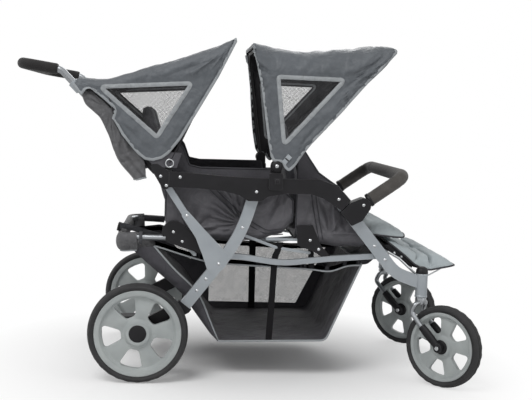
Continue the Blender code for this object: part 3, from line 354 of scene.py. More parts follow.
basketNylon = wovenCloth("packcloth nylon, black", "39383D", "4A494E", "28272B", 2.4, 0.6, 0.08, 0.5)
footPadCloth = wovenCloth("brushed polyester, pale blue grey", "ABB4B7", "C2CACC", "939B9E", 2.0, 0.8, 0.12,
                          0.35, "Object")
pipingTape = wovenCloth("polyester binding tape, silver grey", "8E9295", "A4A8AB", "777B7E", 1.6, 0.6, 0.1,
                        0.2, "Object")
# its pale and dark shades lie far apart: the tape's own tone plus the painted highlight and shade of its
# crinkles
crinkledTape = wovenCloth("polyester binding tape, crinkled silver grey", "8B8F92", "BCBFC1", "6A6D70", 1.6,
                          0.5, 0.1, 0.7, "Object")
darkPiping = wovenCloth("polyester binding tape, dark grey", "3A3A3E", "4A4A4F", "29282B", 1.6, 0.7, 0.08,
                        0.2, "Object")
windowNet = openNet("window net, dark grey", "4A4A4C", "38383A", 2.2, 0.05)
basketNet = openNet("basket net, warm grey", "A8A49F", "6E6A66", 3.6, 0.42)
silverPaint = paintedMetal("aluminium bar, satin silver paint", "969CA1", "A9AEB2", 0.4, 0.35)
polishedTube = paintedMetal("steel tube, bright zinc plate", "8F9295", "A6A9AC", 0.3, 0.85)
plainSteel = paintedMetal("steel rivet, nickel plate", "B4B6B8", "CDCFD0", 0.22, 0.9)
blackNylon = mouldedPlastic("glass-filled nylon, black moulded", "111013", "19181B", 0.5, 0.8)
rimPlastic = mouldedPlastic("polypropylene wheel, light grey moulded", "9FA4A4", "ABB0AF", 0.45, 0.7)
rubber = treadRubber("tyre rubber, black")
gripFoam = softFoam("rubber foam grip, black", "0F0D0D", "1B1919", 1.2)
bumperFoam = softFoam("rubber foam bumper, warm dark grey", "464340", "54514E", 1.2)
blackWebbing = ribbedWebbing("polyester webbing, black", "0F0E10", "1B1A1D", 2.0)
greyWebbing = ribbedWebbing("polyester webbing, grey", "4C4D50", "626367", 2.0)
print("stage: finishes")


def slowNoise(x, y, z):  # the same slow wander on every run, about -1 to 1
    return noise.noise(Vector((x, y, z)))


def makePiece(name, shape, finish, body, sharp=35, place=None):
    # a visible object from points in axle coordinates; sharp is the angle from which edges stay hard
    if place is not None:
        bmesh.ops.transform(shape, matrix=place, verts=shape.verts)
    bmesh.ops.translate(shape, vec=home, verts=shape.verts)
    mesh = bpy.data.meshes.new(name)
    shape.to_mesh(mesh)
    shape.free()
    for face in mesh.polygons:
        face.use_smooth = True
    mesh.set_sharp_from_angle(angle=math.radians(sharp))
    mesh.materials.append(finish)
    piece = bpy.data.objects.new(name, mesh)
    scene.collection.objects.link(piece)
    if body:
        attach(piece, body)
    return piece


def addShape(into, extra):
    mesh = bpy.data.meshes.new("joined")
    extra.to_mesh(mesh)
    extra.free()
    into.from_mesh(mesh)
    bpy.data.meshes.remove(mesh)


def turnedShape(profile, centre=(0, 0, 0), axis=(0, 1, 0), steps=24):
    # profile points are (distance from the axis, place along it)
    bm = bmesh.new()
    verts = [bm.verts.new((r, 0, a)) for r, a in profile]
    edges = [bm.edges.new(pair) for pair in zip(verts, verts[1:])]
    bmesh.ops.spin(bm, geom=verts + edges, cent=(0, 0, 0), axis=(0, 0, 1), angle=math.tau, steps=steps,
                   use_merge=True)
    bmesh.ops.remove_doubles(bm, verts=bm.verts, dist=1e-6)
    bmesh.ops.recalc_face_normals(bm, faces=bm.faces)
    turn = Vector((0, 0, 1)).rotation_difference(Vector(axis)).to_matrix().to_4x4()
    bmesh.ops.transform(bm, matrix=Matrix.Translation(centre) @ turn, verts=bm.verts)
    return bm


def warpedGrid(nx, ny, place, size=(1, 1)):
    # a grid whose points go where place(s, t) says; its UV map is in metres
    bm = bmesh.new()
    layer = bm.loops.layers.uv.new("clothMap")
    bmesh.ops.create_grid(bm, x_segments=nx, y_segments=ny, size=0.5)
    for face in bm.faces:
        for loop in face.loops:
            loop[layer].uv = ((loop.vert.co.x + 0.5) * size[0], (loop.vert.co.y + 0.5) * size[1])
    for vert in bm.verts:
        vert.co = place(vert.co.x + 0.5, vert.co.y + 0.5)
    return bm


def flatPlate(outline, yFrom, yTo, bevel=0.0, segments=2):
    # a plate between two side planes, from an outline of (x, z) points
    bm = bmesh.new()
    face = bm.faces.new([bm.verts.new((x, yFrom, z)) for x, z in outline])
    raised = bmesh.ops.extrude_face_region(bm, geom=[face])
    moved = [v for v in raised["geom"] if isinstance(v, bmesh.types.BMVert)]
    bmesh.ops.translate(bm, vec=(0, yTo - yFrom, 0), verts=moved)
    bmesh.ops.recalc_face_normals(bm, faces=bm.faces)
    if bevel:
        rims = [e for e in bm.edges if abs(e.verts[0].co.y - e.verts[1].co.y) < 1e-7]
        bmesh.ops.bevel(bm, geom=rims, offset=bevel, segments=segments, profile=0.5, affect="EDGES",
                        material=-1)
    return bm


def roundedPath(points, radius, steps, closed=False):
    # the path with its corners rounded
    result = []
    count = len(points)
    for i, point in enumerate(points):
        here = Vector(point)
        if not closed and i in (0, count - 1):
            result.append(here)
            continue
        back = Vector(points[i - 1]) - here
        ahead = Vector(points[(i + 1) % count]) - here
        turn = math.pi - back.angle(ahead)
        reach = min(radius * math.tan(turn / 2), 0.48 * back.length, 0.48 * ahead.length)
        start = here + back.normalized() * reach
        end = here + ahead.normalized() * reach
        for k in range(steps + 1):
            t = k / steps
            result.append((1 - t) ** 2 * start + 2 * t * (1 - t) * here + t ** 2 * end)
    return result


def evenPath(points, count, closed=False):
    # the same path with its points evenly spaced
    spots = [Vector(p) for p in points]
    if closed:
        spots.append(spots[0])
    runs = [(b - a).length for a, b in zip(spots, spots[1:])]
    total = sum(runs)
    result = []
    for k in range(count + 1):
        left = total * k / count
        i = 0
        while i < len(runs) - 1 and left > runs[i]:
            left -= runs[i]
            i += 1
        result.append(spots[i].lerp(spots[i + 1], min(1, left / max(runs[i], 1e-9))))
    return result[:-1] if closed else result


def curvedPath(points, per):
    # smooth curve through the points, with so many steps from one to the next
    spots = [Vector(p) for p in points]
    spots = [spots[0] * 2 - spots[1]] + spots + [spots[-1] * 2 - spots[-2]]
    result = []
    for a, b, c, d in zip(spots, spots[1:], spots[2:], spots[3:]):
        for k in range(per):
            t = k / per
            result.append(0.5 * (2 * b + (c - a) * t + (2 * a - 5 * b + 4 * c - d) * t * t
                                 + (3 * b - a - 3 * c + d) * t ** 3))
    result.append(spots[-2])
    return result


def flatCurve(make, points, *settings):
    # a curve or a rounded outline in the side view, from (x, z) points to (x, z) points
    return [(p.x, p.z) for p in make([(x, 0, z) for x, z in points], *settings)]


def ringSkin(rows, closed):
    # a skin over rings of points; an open run has its two ends filled
    bm = bmesh.new()
    rings = []
    for row in rows:
        ring = [bm.verts.new(p) for p in row]
        rings.append([bm.edges.new(pair) for pair in zip(ring, ring[1:] + ring[:1])])
    for one, two in list(zip(rings, rings[1:])) + ([(rings[-1], rings[0])] if closed else []):
        bmesh.ops.bridge_loops(bm, edges=one + two)
    if not closed:
        bmesh.ops.holes_fill(bm, edges=rings[0] + rings[-1], sides=0)
    bmesh.ops.recalc_face_normals(bm, faces=bm.faces)
    return bm


def sweptTube(points, radius, sides, closed=False, squeeze=None):
    # a round bar along 3D points; radius may be a function of the share of its length
    count = len(points)
    spots = [Vector(p) for p in points]
    rows = []
    up = None
    for i, here in enumerate(spots):
        ahead = spots[(i + 1) % count] if closed or i < count - 1 else here
        back = spots[i - 1] if closed or i > 0 else here
        run = (ahead - back).normalized()
        if up is None:
            up = run.orthogonal().normalized() if squeeze is None else Vector(squeeze[0])
        up = (up - run * up.dot(run)).normalized()
        side = run.cross(up)
        size = radius(i / (count - 1)) if callable(radius) else radius
        flat = size if squeeze is None else squeeze[1]
        rows.append([here + up * flat * math.cos(k * math.tau / sides)
                     + side * size * math.sin(k * math.tau / sides) for k in range(sides)])
    return ringSkin(rows, closed)


def flatStrap(points, across, width, thickness):
    # a flat band along 3D points; across is the direction of its width
    spots = [Vector(p) for p in points]
    last = len(spots) - 1
    length = sum((b - a).length for a, b in zip(spots, spots[1:]))
    side = Vector(across).normalized()

    def place(s, t):
        share = t * last
        i = min(int(share + 1e-6), last - 1)
        return spots[i].lerp(spots[i + 1], share - i) + side * (s - 0.5) * width

    bm = warpedGrid(4, last, place, (width, length))
    bmesh.ops.solidify(bm, geom=bm.faces[:], thickness=thickness)
    bmesh.ops.recalc_face_normals(bm, faces=bm.faces)
    return bm


def keepNode(name, finish, bevel=0.0):
    # a CAD node whose shape is right keeps its mesh and gets a better finish
    node = bpy.data.objects[name]
    node.data.materials.clear()
    node.data.materials.append(finish)
    if bevel:
        edge = node.modifiers.new("softEdge", "BEVEL")
        edge.width = bevel
        edge.segments = 3
        edge.limit_method = "ANGLE"
        edge.angle_limit = math.radians(40)


def rivetShape(x, z, side, plane, radius=0.0048, height=0.0022):
    # a domed head that stands out from the plane, which is its distance from the middle
    profile = [(0.0, height), (radius * 0.45, height * 0.93), (radius * 0.8, height * 0.6),
               (radius, height * 0.15), (radius, -0.0008), (0.0, -0.0008)]
    return turnedShape(profile, (x, side * plane, z), (0, side, 0), 16)


print("stage: makers")


wheelPlan = {
    "rear": {"radius": 0.1525, "width": 0.045, "steps": 120},
    "front": {"radius": 0.128, "width": 0.042, "steps": 108},
    "rearY": 0.35, "lugDepth": 0.0012, "openings": 5, "firstOpening": 43,
}
castorPlan = {"headX": 0.882, "headY": 0.298, "trail": 0.089, "turn": {"near": -44, "far": -40}}


def wheelPlace(row, side, sign):
    radius = wheelPlan[row]["radius"]
    if row == "rear":
        return Matrix.Translation((0, sign * wheelPlan["rearY"], radius))
    turn = math.radians(castorPlan["turn"][side])
    centre = (castorPlan["headX"] + castorPlan["trail"] * math.cos(turn),
              sign * castorPlan["headY"] + castorPlan["trail"] * math.sin(turn), radius)
    return Matrix.Translation(centre) @ Matrix.Rotation(turn, 4, "Z")


def makeTyre(row, side, place):
    radius, width = wheelPlan[row]["radius"], wheelPlan[row]["width"]
    bead, half, steps = radius - 0.0205, width / 2, wheelPlan[row]["steps"]
    edge = [(bead, -0.74), (bead + 0.003, -0.88), (radius - 0.011, -1.0), (radius - 0.006, -0.94),
            (radius - 0.0052, -0.88), (radius - 0.0028, -0.74), (radius - 0.0012, -0.55),
            (radius - 0.0004, -0.36), (radius - 0.002, -0.31), (radius - 0.002, -0.25), (radius, -0.2),
            (radius, -0.04), (radius - 0.0018, -0.02)]
    profile = edge + [(r, -a) for r, a in edge[::-1]] + [edge[0]]
    bm = turnedShape([(r, a * half) for r, a in profile], axis=(0, 1, 0), steps=steps)
    for vert in bm.verts:  # every second pair of steps is a groove across the shoulder
        reach = math.hypot(vert.co.x, vert.co.z)
        turn = round(math.atan2(vert.co.z, vert.co.x) / math.tau * steps) % 4
        if reach > radius - 0.0056 and abs(vert.co.y) > 0.34 * half and turn < 2:
            shrink = (reach - wheelPlan["lugDepth"]) / reach
            vert.co.x *= shrink
            vert.co.z *= shrink
    tyre = makePiece(row + "Tyre_" + side, bm, rubber, row + "_wheel_" + side, 28, place)
    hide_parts(row + "_tyre_" + side)


def makeRim(row, side, place):
    scale = wheelPlan[row]["radius"] / wheelPlan["rear"]["radius"]
    half = wheelPlan[row]["width"] / 2 - 0.001
    outer = wheelPlan[row]["radius"] - 0.0203
    face = [(0.0085, 0.86), (0.026, 0.86), (0.0275, 0.92), (0.035, 0.9), (0.0405, 0.55), (0.044, 0.44),
            (0.052, 0.42), (0.06, 0.41), (0.068, 0.4), (0.076, 0.39), (0.084, 0.38), (0.092, 0.37),
            (0.1, 0.36), (0.106, 0.37), (0.109, 0.4), (0.114, 0.66), (0.1165, 0.86), (0.1205, 0.93)]
    face = [(r * scale, a * half) for r, a in face] + [(outer - 0.0015, half * 0.93), (outer, half * 0.88)]
    profile = face + [(r, -a) for r, a in face[::-1]] + [face[0]]
    disc = turnedShape(profile, axis=(0, 1, 0), steps=80)
    for vert in disc.verts:  # the spokes swell between the openings
        reach, turn = math.hypot(vert.co.x, vert.co.z) / scale, math.atan2(vert.co.z, vert.co.x)
        wave = math.cos(wheelPlan["openings"] * (turn - math.radians(wheelPlan["firstOpening"])))
        share = max(0.0, 1 - ((reach - 0.074) / 0.03) ** 2)
        vert.co.y *= 1 - 0.42 * wave * share
    rim = makePiece(row + "Rim_" + side, disc, rimPlastic, row + "_wheel_" + side, 30)
    cutters = bmesh.new()
    for number in range(wheelPlan["openings"]):
        turn = math.radians(wheelPlan["firstOpening"] + 360 / wheelPlan["openings"] * number)
        corners = [(0.051, -0.015), (0.106, -0.038), (0.109, 0.0), (0.106, 0.038), (0.051, 0.015)]
        corners = [(r * scale * math.cos(turn) - a * scale * math.sin(turn),
                    r * scale * math.sin(turn) + a * scale * math.cos(turn)) for r, a in corners]
        outline = flatCurve(roundedPath, corners, 0.0145 * scale, 7, True)
        addShape(cutters, flatPlate(outline, -0.05, 0.05))
    holes = makePiece("rimHoles", cutters, rimPlastic, row + "_wheel_" + side)
    cutting = rim.modifiers.new("openings", "BOOLEAN")
    cutting.object = holes
    cutting.solver = "EXACT"
    soften = rim.modifiers.new("softEdge", "BEVEL")
    soften.width = 0.0022
    soften.segments = 2
    soften.limit_method = "ANGLE"
    soften.angle_limit = math.radians(50)
    graph = bpy.context.evaluated_depsgraph_get()
    done = bpy.data.meshes.new_from_object(rim.evaluated_get(graph))
    rim.modifiers.clear()
    rim.data = done
    bpy.data.objects.remove(holes, do_unlink=True)
    back = Matrix.Translation(home) @ place @ Matrix.Translation(-home)
    rim.data.transform(back)
    for face in rim.data.polygons:
        face.use_smooth = True
    rim.data.set_sharp_from_angle(angle=math.radians(30))
    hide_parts(row + "_rim_" + side)
    caps = bmesh.new()
    for end in (-1, 1):
        reach = half * 0.86 * end
        dome = [(0.0, reach + 0.0042 * end), (0.013 * scale, reach + 0.0038 * end),
                (0.022 * scale, reach + 0.0026 * end), (0.0272 * scale, reach + 0.0004 * end),
                (0.0272 * scale, reach - 0.002 * end), (0.0, reach - 0.002 * end)]
        addShape(caps, turnedShape(dome, axis=(0, 1, 0), steps=32))
    makePiece(row + "HubCap_" + side, caps, blackNylon, row + "_wheel_" + side, 30, place)


for side, sign in sides:
    for row in ("rear", "front"):
        spot = wheelPlace(row, side, sign)
        makeTyre(row, side, spot)
        makeRim(row, side, spot)
print("stage: wheels")

# castor forks, their caps and the head tubes on the front legs
forkPlan = {"legY": 0.0323, "tube": 0.0078, "headLow": 0.271, "headHigh": 0.346,
            "sleeveTop": (0.027, 0.1855),
            "leg": [(0.0, 0.0323, 0.251), (-0.013, 0.0323, 0.226), (0.02, 0.0323, 0.192),
                    (0.089, 0.0323, 0.128)]}


def makeFork(side, sign):
    turn = math.radians(castorPlan["turn"][side])
    head = Matrix.Translation((castorPlan["headX"], sign * castorPlan["headY"], 0))
    place = head @ Matrix.Rotation(turn, 4, "Z")
    body = "castor_" + side
    left = [(x, -y, z) for x, y, z in forkPlan["leg"]]
    hoop = left[::-1] + [(0.002, -0.018, 0.2555), (0.002, 0.018, 0.2555)] + forkPlan["leg"]
    bm = sweptTube(roundedPath(hoop, 0.03, 7), forkPlan["tube"], 16)
    fork = makePiece("forkTube_" + side, bm, polishedTube, body, 40, place)
    crown = [(0.0, 0.2475), (0.015, 0.2475), (0.0175, 0.25), (0.0178, 0.2665), (0.0165, 0.27), (0.0, 0.27)]
    makePiece("forkCrown_" + side, turnedShape(crown, (0, 0, 0), (0, 0, 1), 32), polishedTube, body,
              30, place)
    cap = [(0.0, 0.369), (0.008, 0.368), (0.0145, 0.364), (0.0182, 0.358), (0.0192, 0.351), (0.0192, 0.3466),
           (0.0, 0.3466)]
    makePiece("headCap_" + side, turnedShape(cap, (0, 0, 0), (0, 0, 1), 32), blackNylon, body, 30,
              place)
    sleeves = bmesh.new()
    bolts = bmesh.new()
    for end in (-1, 1):
        y = end * forkPlan["legY"]
        start = Vector((forkPlan["sleeveTop"][0], y, forkPlan["sleeveTop"][1]))
        foot = Vector((castorPlan["trail"], y, wheelPlan["front"]["radius"]))
        spots = [start.lerp(foot, k / 12) for k in range(13)]
        addShape(sleeves, sweptTube(spots, lambda t: 0.0118 + 0.0022 * math.sin(math.pi * min(1, t * 1.25)),
                                    16, squeeze=((0, 1, 0), 0.0095)))
        boss = [(0.0, -0.0082), (0.013, -0.0082), (0.0145, -0.0065), (0.0145, 0.0065), (0.013, 0.0082),
                (0.0, 0.0082)]
        addShape(sleeves, turnedShape(boss, foot, (0, 1, 0), 28))
        nut = [(0.0, 0.0052), (0.0062, 0.0052), (0.0072, 0.0042), (0.0072, -0.001), (0.0, -0.001)]
        addShape(bolts, turnedShape(nut, (foot.x, y + end * 0.0082, foot.z), (0, end, 0), 6))
    makePiece("forkSleeves_" + side, sleeves, blackNylon, body, 30, place)
    makePiece("wheelBolts_" + side, bolts, plainSteel, body, 30, place)
    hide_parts("castor_fork_" + side)
    z0, z1 = forkPlan["headLow"], forkPlan["headHigh"]
    head = [(0.0134, z0), (0.0192, z0), (0.0198, z0 + 0.0015), (0.0198, z0 + 0.005), (0.0188, z0 + 0.0065),
            (0.0188, z1 - 0.0065), (0.0198, z1 - 0.005), (0.0198, z1 - 0.0015), (0.0192, z1), (0.0134, z1),
            (0.0134, z0)]
    centre = (castorPlan["headX"], sign * castorPlan["headY"], 0)
    makePiece("headTube_" + side, turnedShape(head, centre, (0, 0, 1), 40), silverPaint, "chassis",
              30)


for side, sign in sides:
    makeFork(side, sign)
print("stage: castor forks")


# frame: the CAD bars keep their shape; rivets, links, buttons and clips are added
pivots = {"handle": (0.056, 0.63), "rear": (0.082, 0.67), "front": (0.407, 0.672)}
rivetPlan = {
    "leg": [(0.725, 0.43), (0.76, 0.388), (0.311, 0.477), (0.203, 0.315), (0.176, 0.278)],
    "gusset": [(0.139, 0.51), (0.241, 0.363)],
    "rail": [(0.115, 0.629), (0.349, 0.591), (0.604, 0.575), (0.682, 0.559), (0.056, 0.63), (0.074, 0.602)],
    "bracket": [(0.099, 0.456), (0.127, 0.427), (0.525, 0.441), (0.553, 0.413)],
}
rivetPlanes = {"leg": 0.308, "gusset": 0.3113, "rail": 0.328, "bracket": 0.2877}
linkPlan = [((0.324, 0.448), (0.421, 0.414), 0.009), ((0.389, 0.44), (0.49, 0.44), 0.008),
            ((0.44, 0.411), (0.526, 0.4), 0.009), ((0.554, 0.413), (0.588, 0.379), 0.008),
            ((0.126, 0.425), (0.168, 0.385), 0.011)]
clipPlan = {"centre": (0.4105, 0.6245), "plane": 0.336, "frame": 0.0092, "button": 0.0062}
eyeletPlan = {"centre": pivots["rear"], "ring": 0.0118, "wire": 0.0022, "plane": 0.3292}

for side, sign in sides:
    for name in ("rear_leg", "gusset", "rear_upright", "front_leg", "lower_rail"):
        keepNode(name + "_" + side, silverPaint, 0.0022 if name != "gusset" else 0.0008)
    for name in ("axle_bracket", "fold_joint", "side_rail", "front_clamp", "rear_seat_bracket",
                 "front_seat_bracket", "rear_canopy_hub"):
        keepNode(name + "_" + side, blackNylon, 0.002)
    rivets = bmesh.new()
    for group, spots in rivetPlan.items():
        for x, z in spots:
            addShape(rivets, rivetShape(x, z, sign, rivetPlanes[group]))
    makePiece("rivets_" + side, rivets, plainSteel, "chassis", 40)
    links = bmesh.new()
    for (x0, z0), (x1, z1), wide in linkPlan:
        run = Vector((x1 - x0, 0, z1 - z0)).normalized()
        normal = Vector((-run.z, 0, run.x)) * wide / 2
        ring = [Vector((x0, 0, z0)) + normal, Vector((x0, 0, z0)) - run * wide / 2,
                Vector((x0, 0, z0)) - normal, Vector((x1, 0, z1)) - normal,
                Vector((x1, 0, z1)) + run * wide / 2, Vector((x1, 0, z1)) + normal]
        addShape(links, flatPlate([(p.x, p.z) for p in ring], sign * 0.2735, sign * 0.2765, 0.0006, 1))
    makePiece("seatLinks_" + side, links, silverPaint, "chassis", 30)
    clip = bmesh.new()
    (x, z), plane = clipPlan["centre"], clipPlan["plane"]
    for reach, low, high in ((clipPlan["frame"], 0.0, 0.002), (clipPlan["button"], 0.0015, 0.0042)):
        square = [(x - reach, z - reach), (x + reach, z - reach), (x + reach, z + reach),
                  (x - reach, z + reach)]
        outline = flatCurve(roundedPath, square, 0.002, 4, True)
        addShape(clip, flatPlate(outline, sign * (plane + low - 0.0005), sign * (plane + high), 0.0008, 2))
    makePiece("canopyClipButton_" + side, clip, blackNylon, "chassis", 30)
    (x, z), radius = eyeletPlan["centre"], eyeletPlan["ring"]
    ring = [(x + radius * math.cos(k * math.tau / 40), sign * eyeletPlan["plane"],
             z + radius * math.sin(k * math.tau / 40)) for k in range(40)]
    makePiece("canopyEyelet_" + side, sweptTube(ring, eyeletPlan["wire"], 12, True), plainSteel,
              "rear_canopy", 60)
    hub = [(0.0, 0.0146), (0.006, 0.0144), (0.0125, 0.0126), (0.0168, 0.0098), (0.0186, 0.007),
           (0.0186, 0.0), (0.0, 0.0)]
    pivot = (pivots["front"][0], sign * 0.3326, pivots["front"][1])
    makePiece("canopyHub_" + side, turnedShape(hub, pivot, (0, sign, 0), 36), blackNylon, "front_canopy",
              30)
    tab = [(0.4215, 0.686), (0.433, 0.677), (0.452, 0.7), (0.44, 0.71)]
    makePiece("canopyTab_" + side, flatPlate(tab, sign * 0.3415, sign * 0.345, 0.001, 2), silverPaint,
              "front_canopy", 30)
    bar = [(0.43, 0.696), (0.4415, 0.687), (0.444, 0.69), (0.4325, 0.699)]
    makePiece("canopyTabBar_" + side, flatPlate(bar, sign * 0.344, sign * 0.3462, 0.0006, 1), blackNylon,
              "front_canopy", 30)
    makePiece("canopyHubRivet_" + side, rivetShape(*pivots["front"], sign, 0.347, 0.0055, 0.0022),
              plainSteel, "front_canopy", 40)
for side, sign in sides:  # dark cloth behind the rear canopy's foot
    ear = [(0.016, 0.678), (0.034, 0.66), (0.052, 0.6565), (0.104, 0.6565), (0.118, 0.702), (0.05, 0.706)]
    makePiece("canopyEar_" + side, flatPlate(ear, sign * 0.3262, sign * 0.3276, 0.0005, 1), sideCloth,
              "chassis", 30)
keepNode("rear_cross_tube", silverPaint)
keepNode("front_cross_tube", silverPaint)
keepNode("rear_axle", plainSteel)
keepNode("brake_pedal", blackNylon, 0.002)
print("stage: frame")


# push handle and bumper bar
handlePlan = {"pivot": pivots["handle"], "bend": (-0.25, 0.94), "gripStart": -0.26,
              "gripEnd": (-0.37, 0.957), "y": 0.2975, "tube": 0.0105, "grip": 0.0165, "corner": 0.045,
              "run": (-0.7025, 0, 0.7117), "collar": ((-0.192, 0.8805), (-0.216, 0.9048)),
              "ferrule": 0.0136, "rivetReach": 0.031}
bumperPlan = {"pivot": (0.68, 0.556), "corner": (0.812, 0.65), "clear": 0.0253, "y": 0.298, "foam": 0.0205,
              "bend": 0.05}


def makeHandle():
    bend, (endX, endZ) = handlePlan["bend"], handlePlan["gripEnd"]
    slope = (endZ - bend[1]) / (endX - bend[0])
    startX = handlePlan["gripStart"]
    startZ = bend[1] + slope * (startX - bend[0])
    y = handlePlan["y"]
    for side, sign in sides:
        corners = [(handlePlan["pivot"][0], sign * y, handlePlan["pivot"][1]), (bend[0], sign * y, bend[1]),
                   (startX - 0.008, sign * y, startZ - 0.008 * slope)]
        pole = sweptTube(roundedPath(corners, 0.03, 8), handlePlan["tube"], 20)
        pole = makePiece("handlePole_" + side, pole, polishedTube, "handle", 40)
        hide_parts("handle_tube_" + side)
        low, high = [Vector((x, sign * y, z)) for x, z in handlePlan["collar"]]
        ring = [low.lerp(high, t) for t in (0, 0.02, 0.12, 0.88, 0.98, 1.0)]
        collar = sweptTube(ring, lambda t: 0.0128 if t in (0, 1) else 0.0148, 20)
        makePiece("handleCollar_" + side, collar, silverPaint, "handle", 40)
        foot, run = Vector(corners[0]), Vector(handlePlan["run"])
        ferrule = [foot + run * d for d in (0.018, 0.02, 0.024, 0.078, 0.083, 0.085)]
        ferrule = sweptTube(ferrule, lambda t: 0.012 if t in (0, 1) else handlePlan["ferrule"], 20)
        makePiece("handleFerrule_" + side, ferrule, blackNylon, "handle", 40)
        spot = foot + run * handlePlan["rivetReach"]
        makePiece("handleRivet_" + side, rivetShape(spot.x, spot.z, sign, y + 0.0134), plainSteel, "handle",
                  40)
    corners = [(startX, -y, startZ), (endX, -y, endZ), (endX, y, endZ), (startX, y, startZ)]
    path = evenPath(roundedPath(corners, handlePlan["corner"], 10), 150)

    def girth(t):
        edge = min(t, 1 - t) * 0.78
        tip = 0.0022 * max(0, 1 - edge / 0.004) ** 2
        return handlePlan["grip"] - tip + 0.0003 * slowNoise(t * 90, 0, 3)

    grip = makePiece("handleFoam", sweptTube(path, girth, 28), gripFoam, "handle", 60)
    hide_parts("handle_grip")


def makeBumper():
    pivot, corner = Vector((bumperPlan["pivot"][0], 0, bumperPlan["pivot"][1])), bumperPlan["corner"]
    run = (Vector((corner[0], 0, corner[1])) - pivot).normalized()
    start = pivot + run * bumperPlan["clear"]
    y = bumperPlan["y"]
    corners = [(start.x, -y, start.z), (corner[0], -y, corner[1]), (corner[0], y, corner[1]),
               (start.x, y, start.z)]
    path = evenPath(roundedPath(corners, bumperPlan["bend"], 12), 260)

    def girth(t):
        edge = min(t, 1 - t) * 0.9
        tip = 0.002 * max(0, 1 - edge / 0.004) ** 2
        bent = sum(math.exp(-((t - spot) / 0.035) ** 2) for spot in (0.145, 0.855))
        ripple = 0.0007 * bent * math.sin(t * 700)
        joint = 0.0022 * math.exp(-((t - 0.74) / 0.0025) ** 2)  # the two foam lengths meet here
        return bumperPlan["foam"] - tip + ripple - joint + 0.0005 * slowNoise(t * 60, 0, 8)

    collars = bmesh.new()
    for sign in (-1, 1):
        ends = [pivot + run * (bumperPlan["clear"] + reach) + Vector((0, sign * y, 0))
                for reach in (-0.0002, 0.0015, 0.0085, 0.0102)]
        addShape(collars, sweptTube(ends, lambda t: bumperPlan["foam"]
                                    + (0.0016 if 0.1 < t < 0.9 else 0.0002), 28))
    makePiece("bumperCollars", collars, blackNylon, "bumper", 30)
    bar = makePiece("bumperFoam", sweptTube(path, girth, 28), bumperFoam, "bumper", 60)
    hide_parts("bumper_bar")


makeHandle()
makeBumper()
print("stage: handle and bumper")


def smooth(value):  # eases from 0 to 1
    value = max(0.0, min(1.0, value))
    return value * value * (3 - 2 * value)


def onPath(path, share):
    spots = [Vector((p[0], 0, p[1])) for p in path]
    runs = [(b - a).length for a, b in zip(spots, spots[1:])]
    left = max(0.0, min(1.0, share)) * sum(runs)
    for a, b, run in zip(spots, spots[1:], runs):
        if left <= run:
            return a.lerp(b, left / max(run, 1e-9))
        left -= run
    return spots[-1].copy()


def fanFolds(x, z, focus, seed, folds=9.0):
    # sharp folds that gather at the focus and fade away from it; 0 to 1
    reach = math.hypot(x - focus[0], z - focus[1])
    angle = math.atan2(z - focus[1], x - focus[0])
    bend = 0.35 * slowNoise(x * 14, z * 14, seed)
    wave = slowNoise(math.cos(angle + bend) * folds / 2, math.sin(angle + bend) * folds / 2,
                     seed + reach * 5)
    return max(0.0, 1 - abs(wave) * 3.4) * smooth(reach / 0.06) * (1 - smooth((reach - 0.17) / 0.12))


def creaseLines(x, z, lines):
    # straight creases: ends, width and depth of each
    total = 0.0
    for (x0, z0), (x1, z1), width, depth in lines:
        run = Vector((x1 - x0, z1 - z0))
        share = ((x - x0) * run.x + (z - z0) * run.y) / run.length_squared
        if -0.1 < share < 1.1:
            away = ((x - x0) * run.y - (z - z0) * run.x) / run.length
            ends = smooth((share + 0.1) / 0.25) * smooth((1.1 - share) / 0.25)
            total += depth * ends * math.exp(-(away / width) ** 2)
    return total


def triangleGap(x, z, corners):
    # how far a point lies outside the triangle, 0 inside
    away = []
    turn = 0
    for (x0, z0), (x1, z1) in zip(corners, corners[1:] + corners[:1]):
        length = math.hypot(x1 - x0, z1 - z0)
        away.append(((x1 - x0) * (z - z0) - (z1 - z0) * (x - x0)) / length)
        turn += (x1 - x0) * (z1 + z0)
    return max(0.0, -min(away)) if turn < 0 else max(0.0, max(away))


def flatArea(piece):
    return sum(face.area for face in piece.data.polygons)


def addThickness(piece, thickness, offset=0.0, lining=None):
    thick = piece.modifiers.new("clothThickness", "SOLIDIFY")
    thick.thickness = thickness
    thick.offset = offset
    if lining:
        piece.data.materials.append(lining)
        thick.material_offset = 1


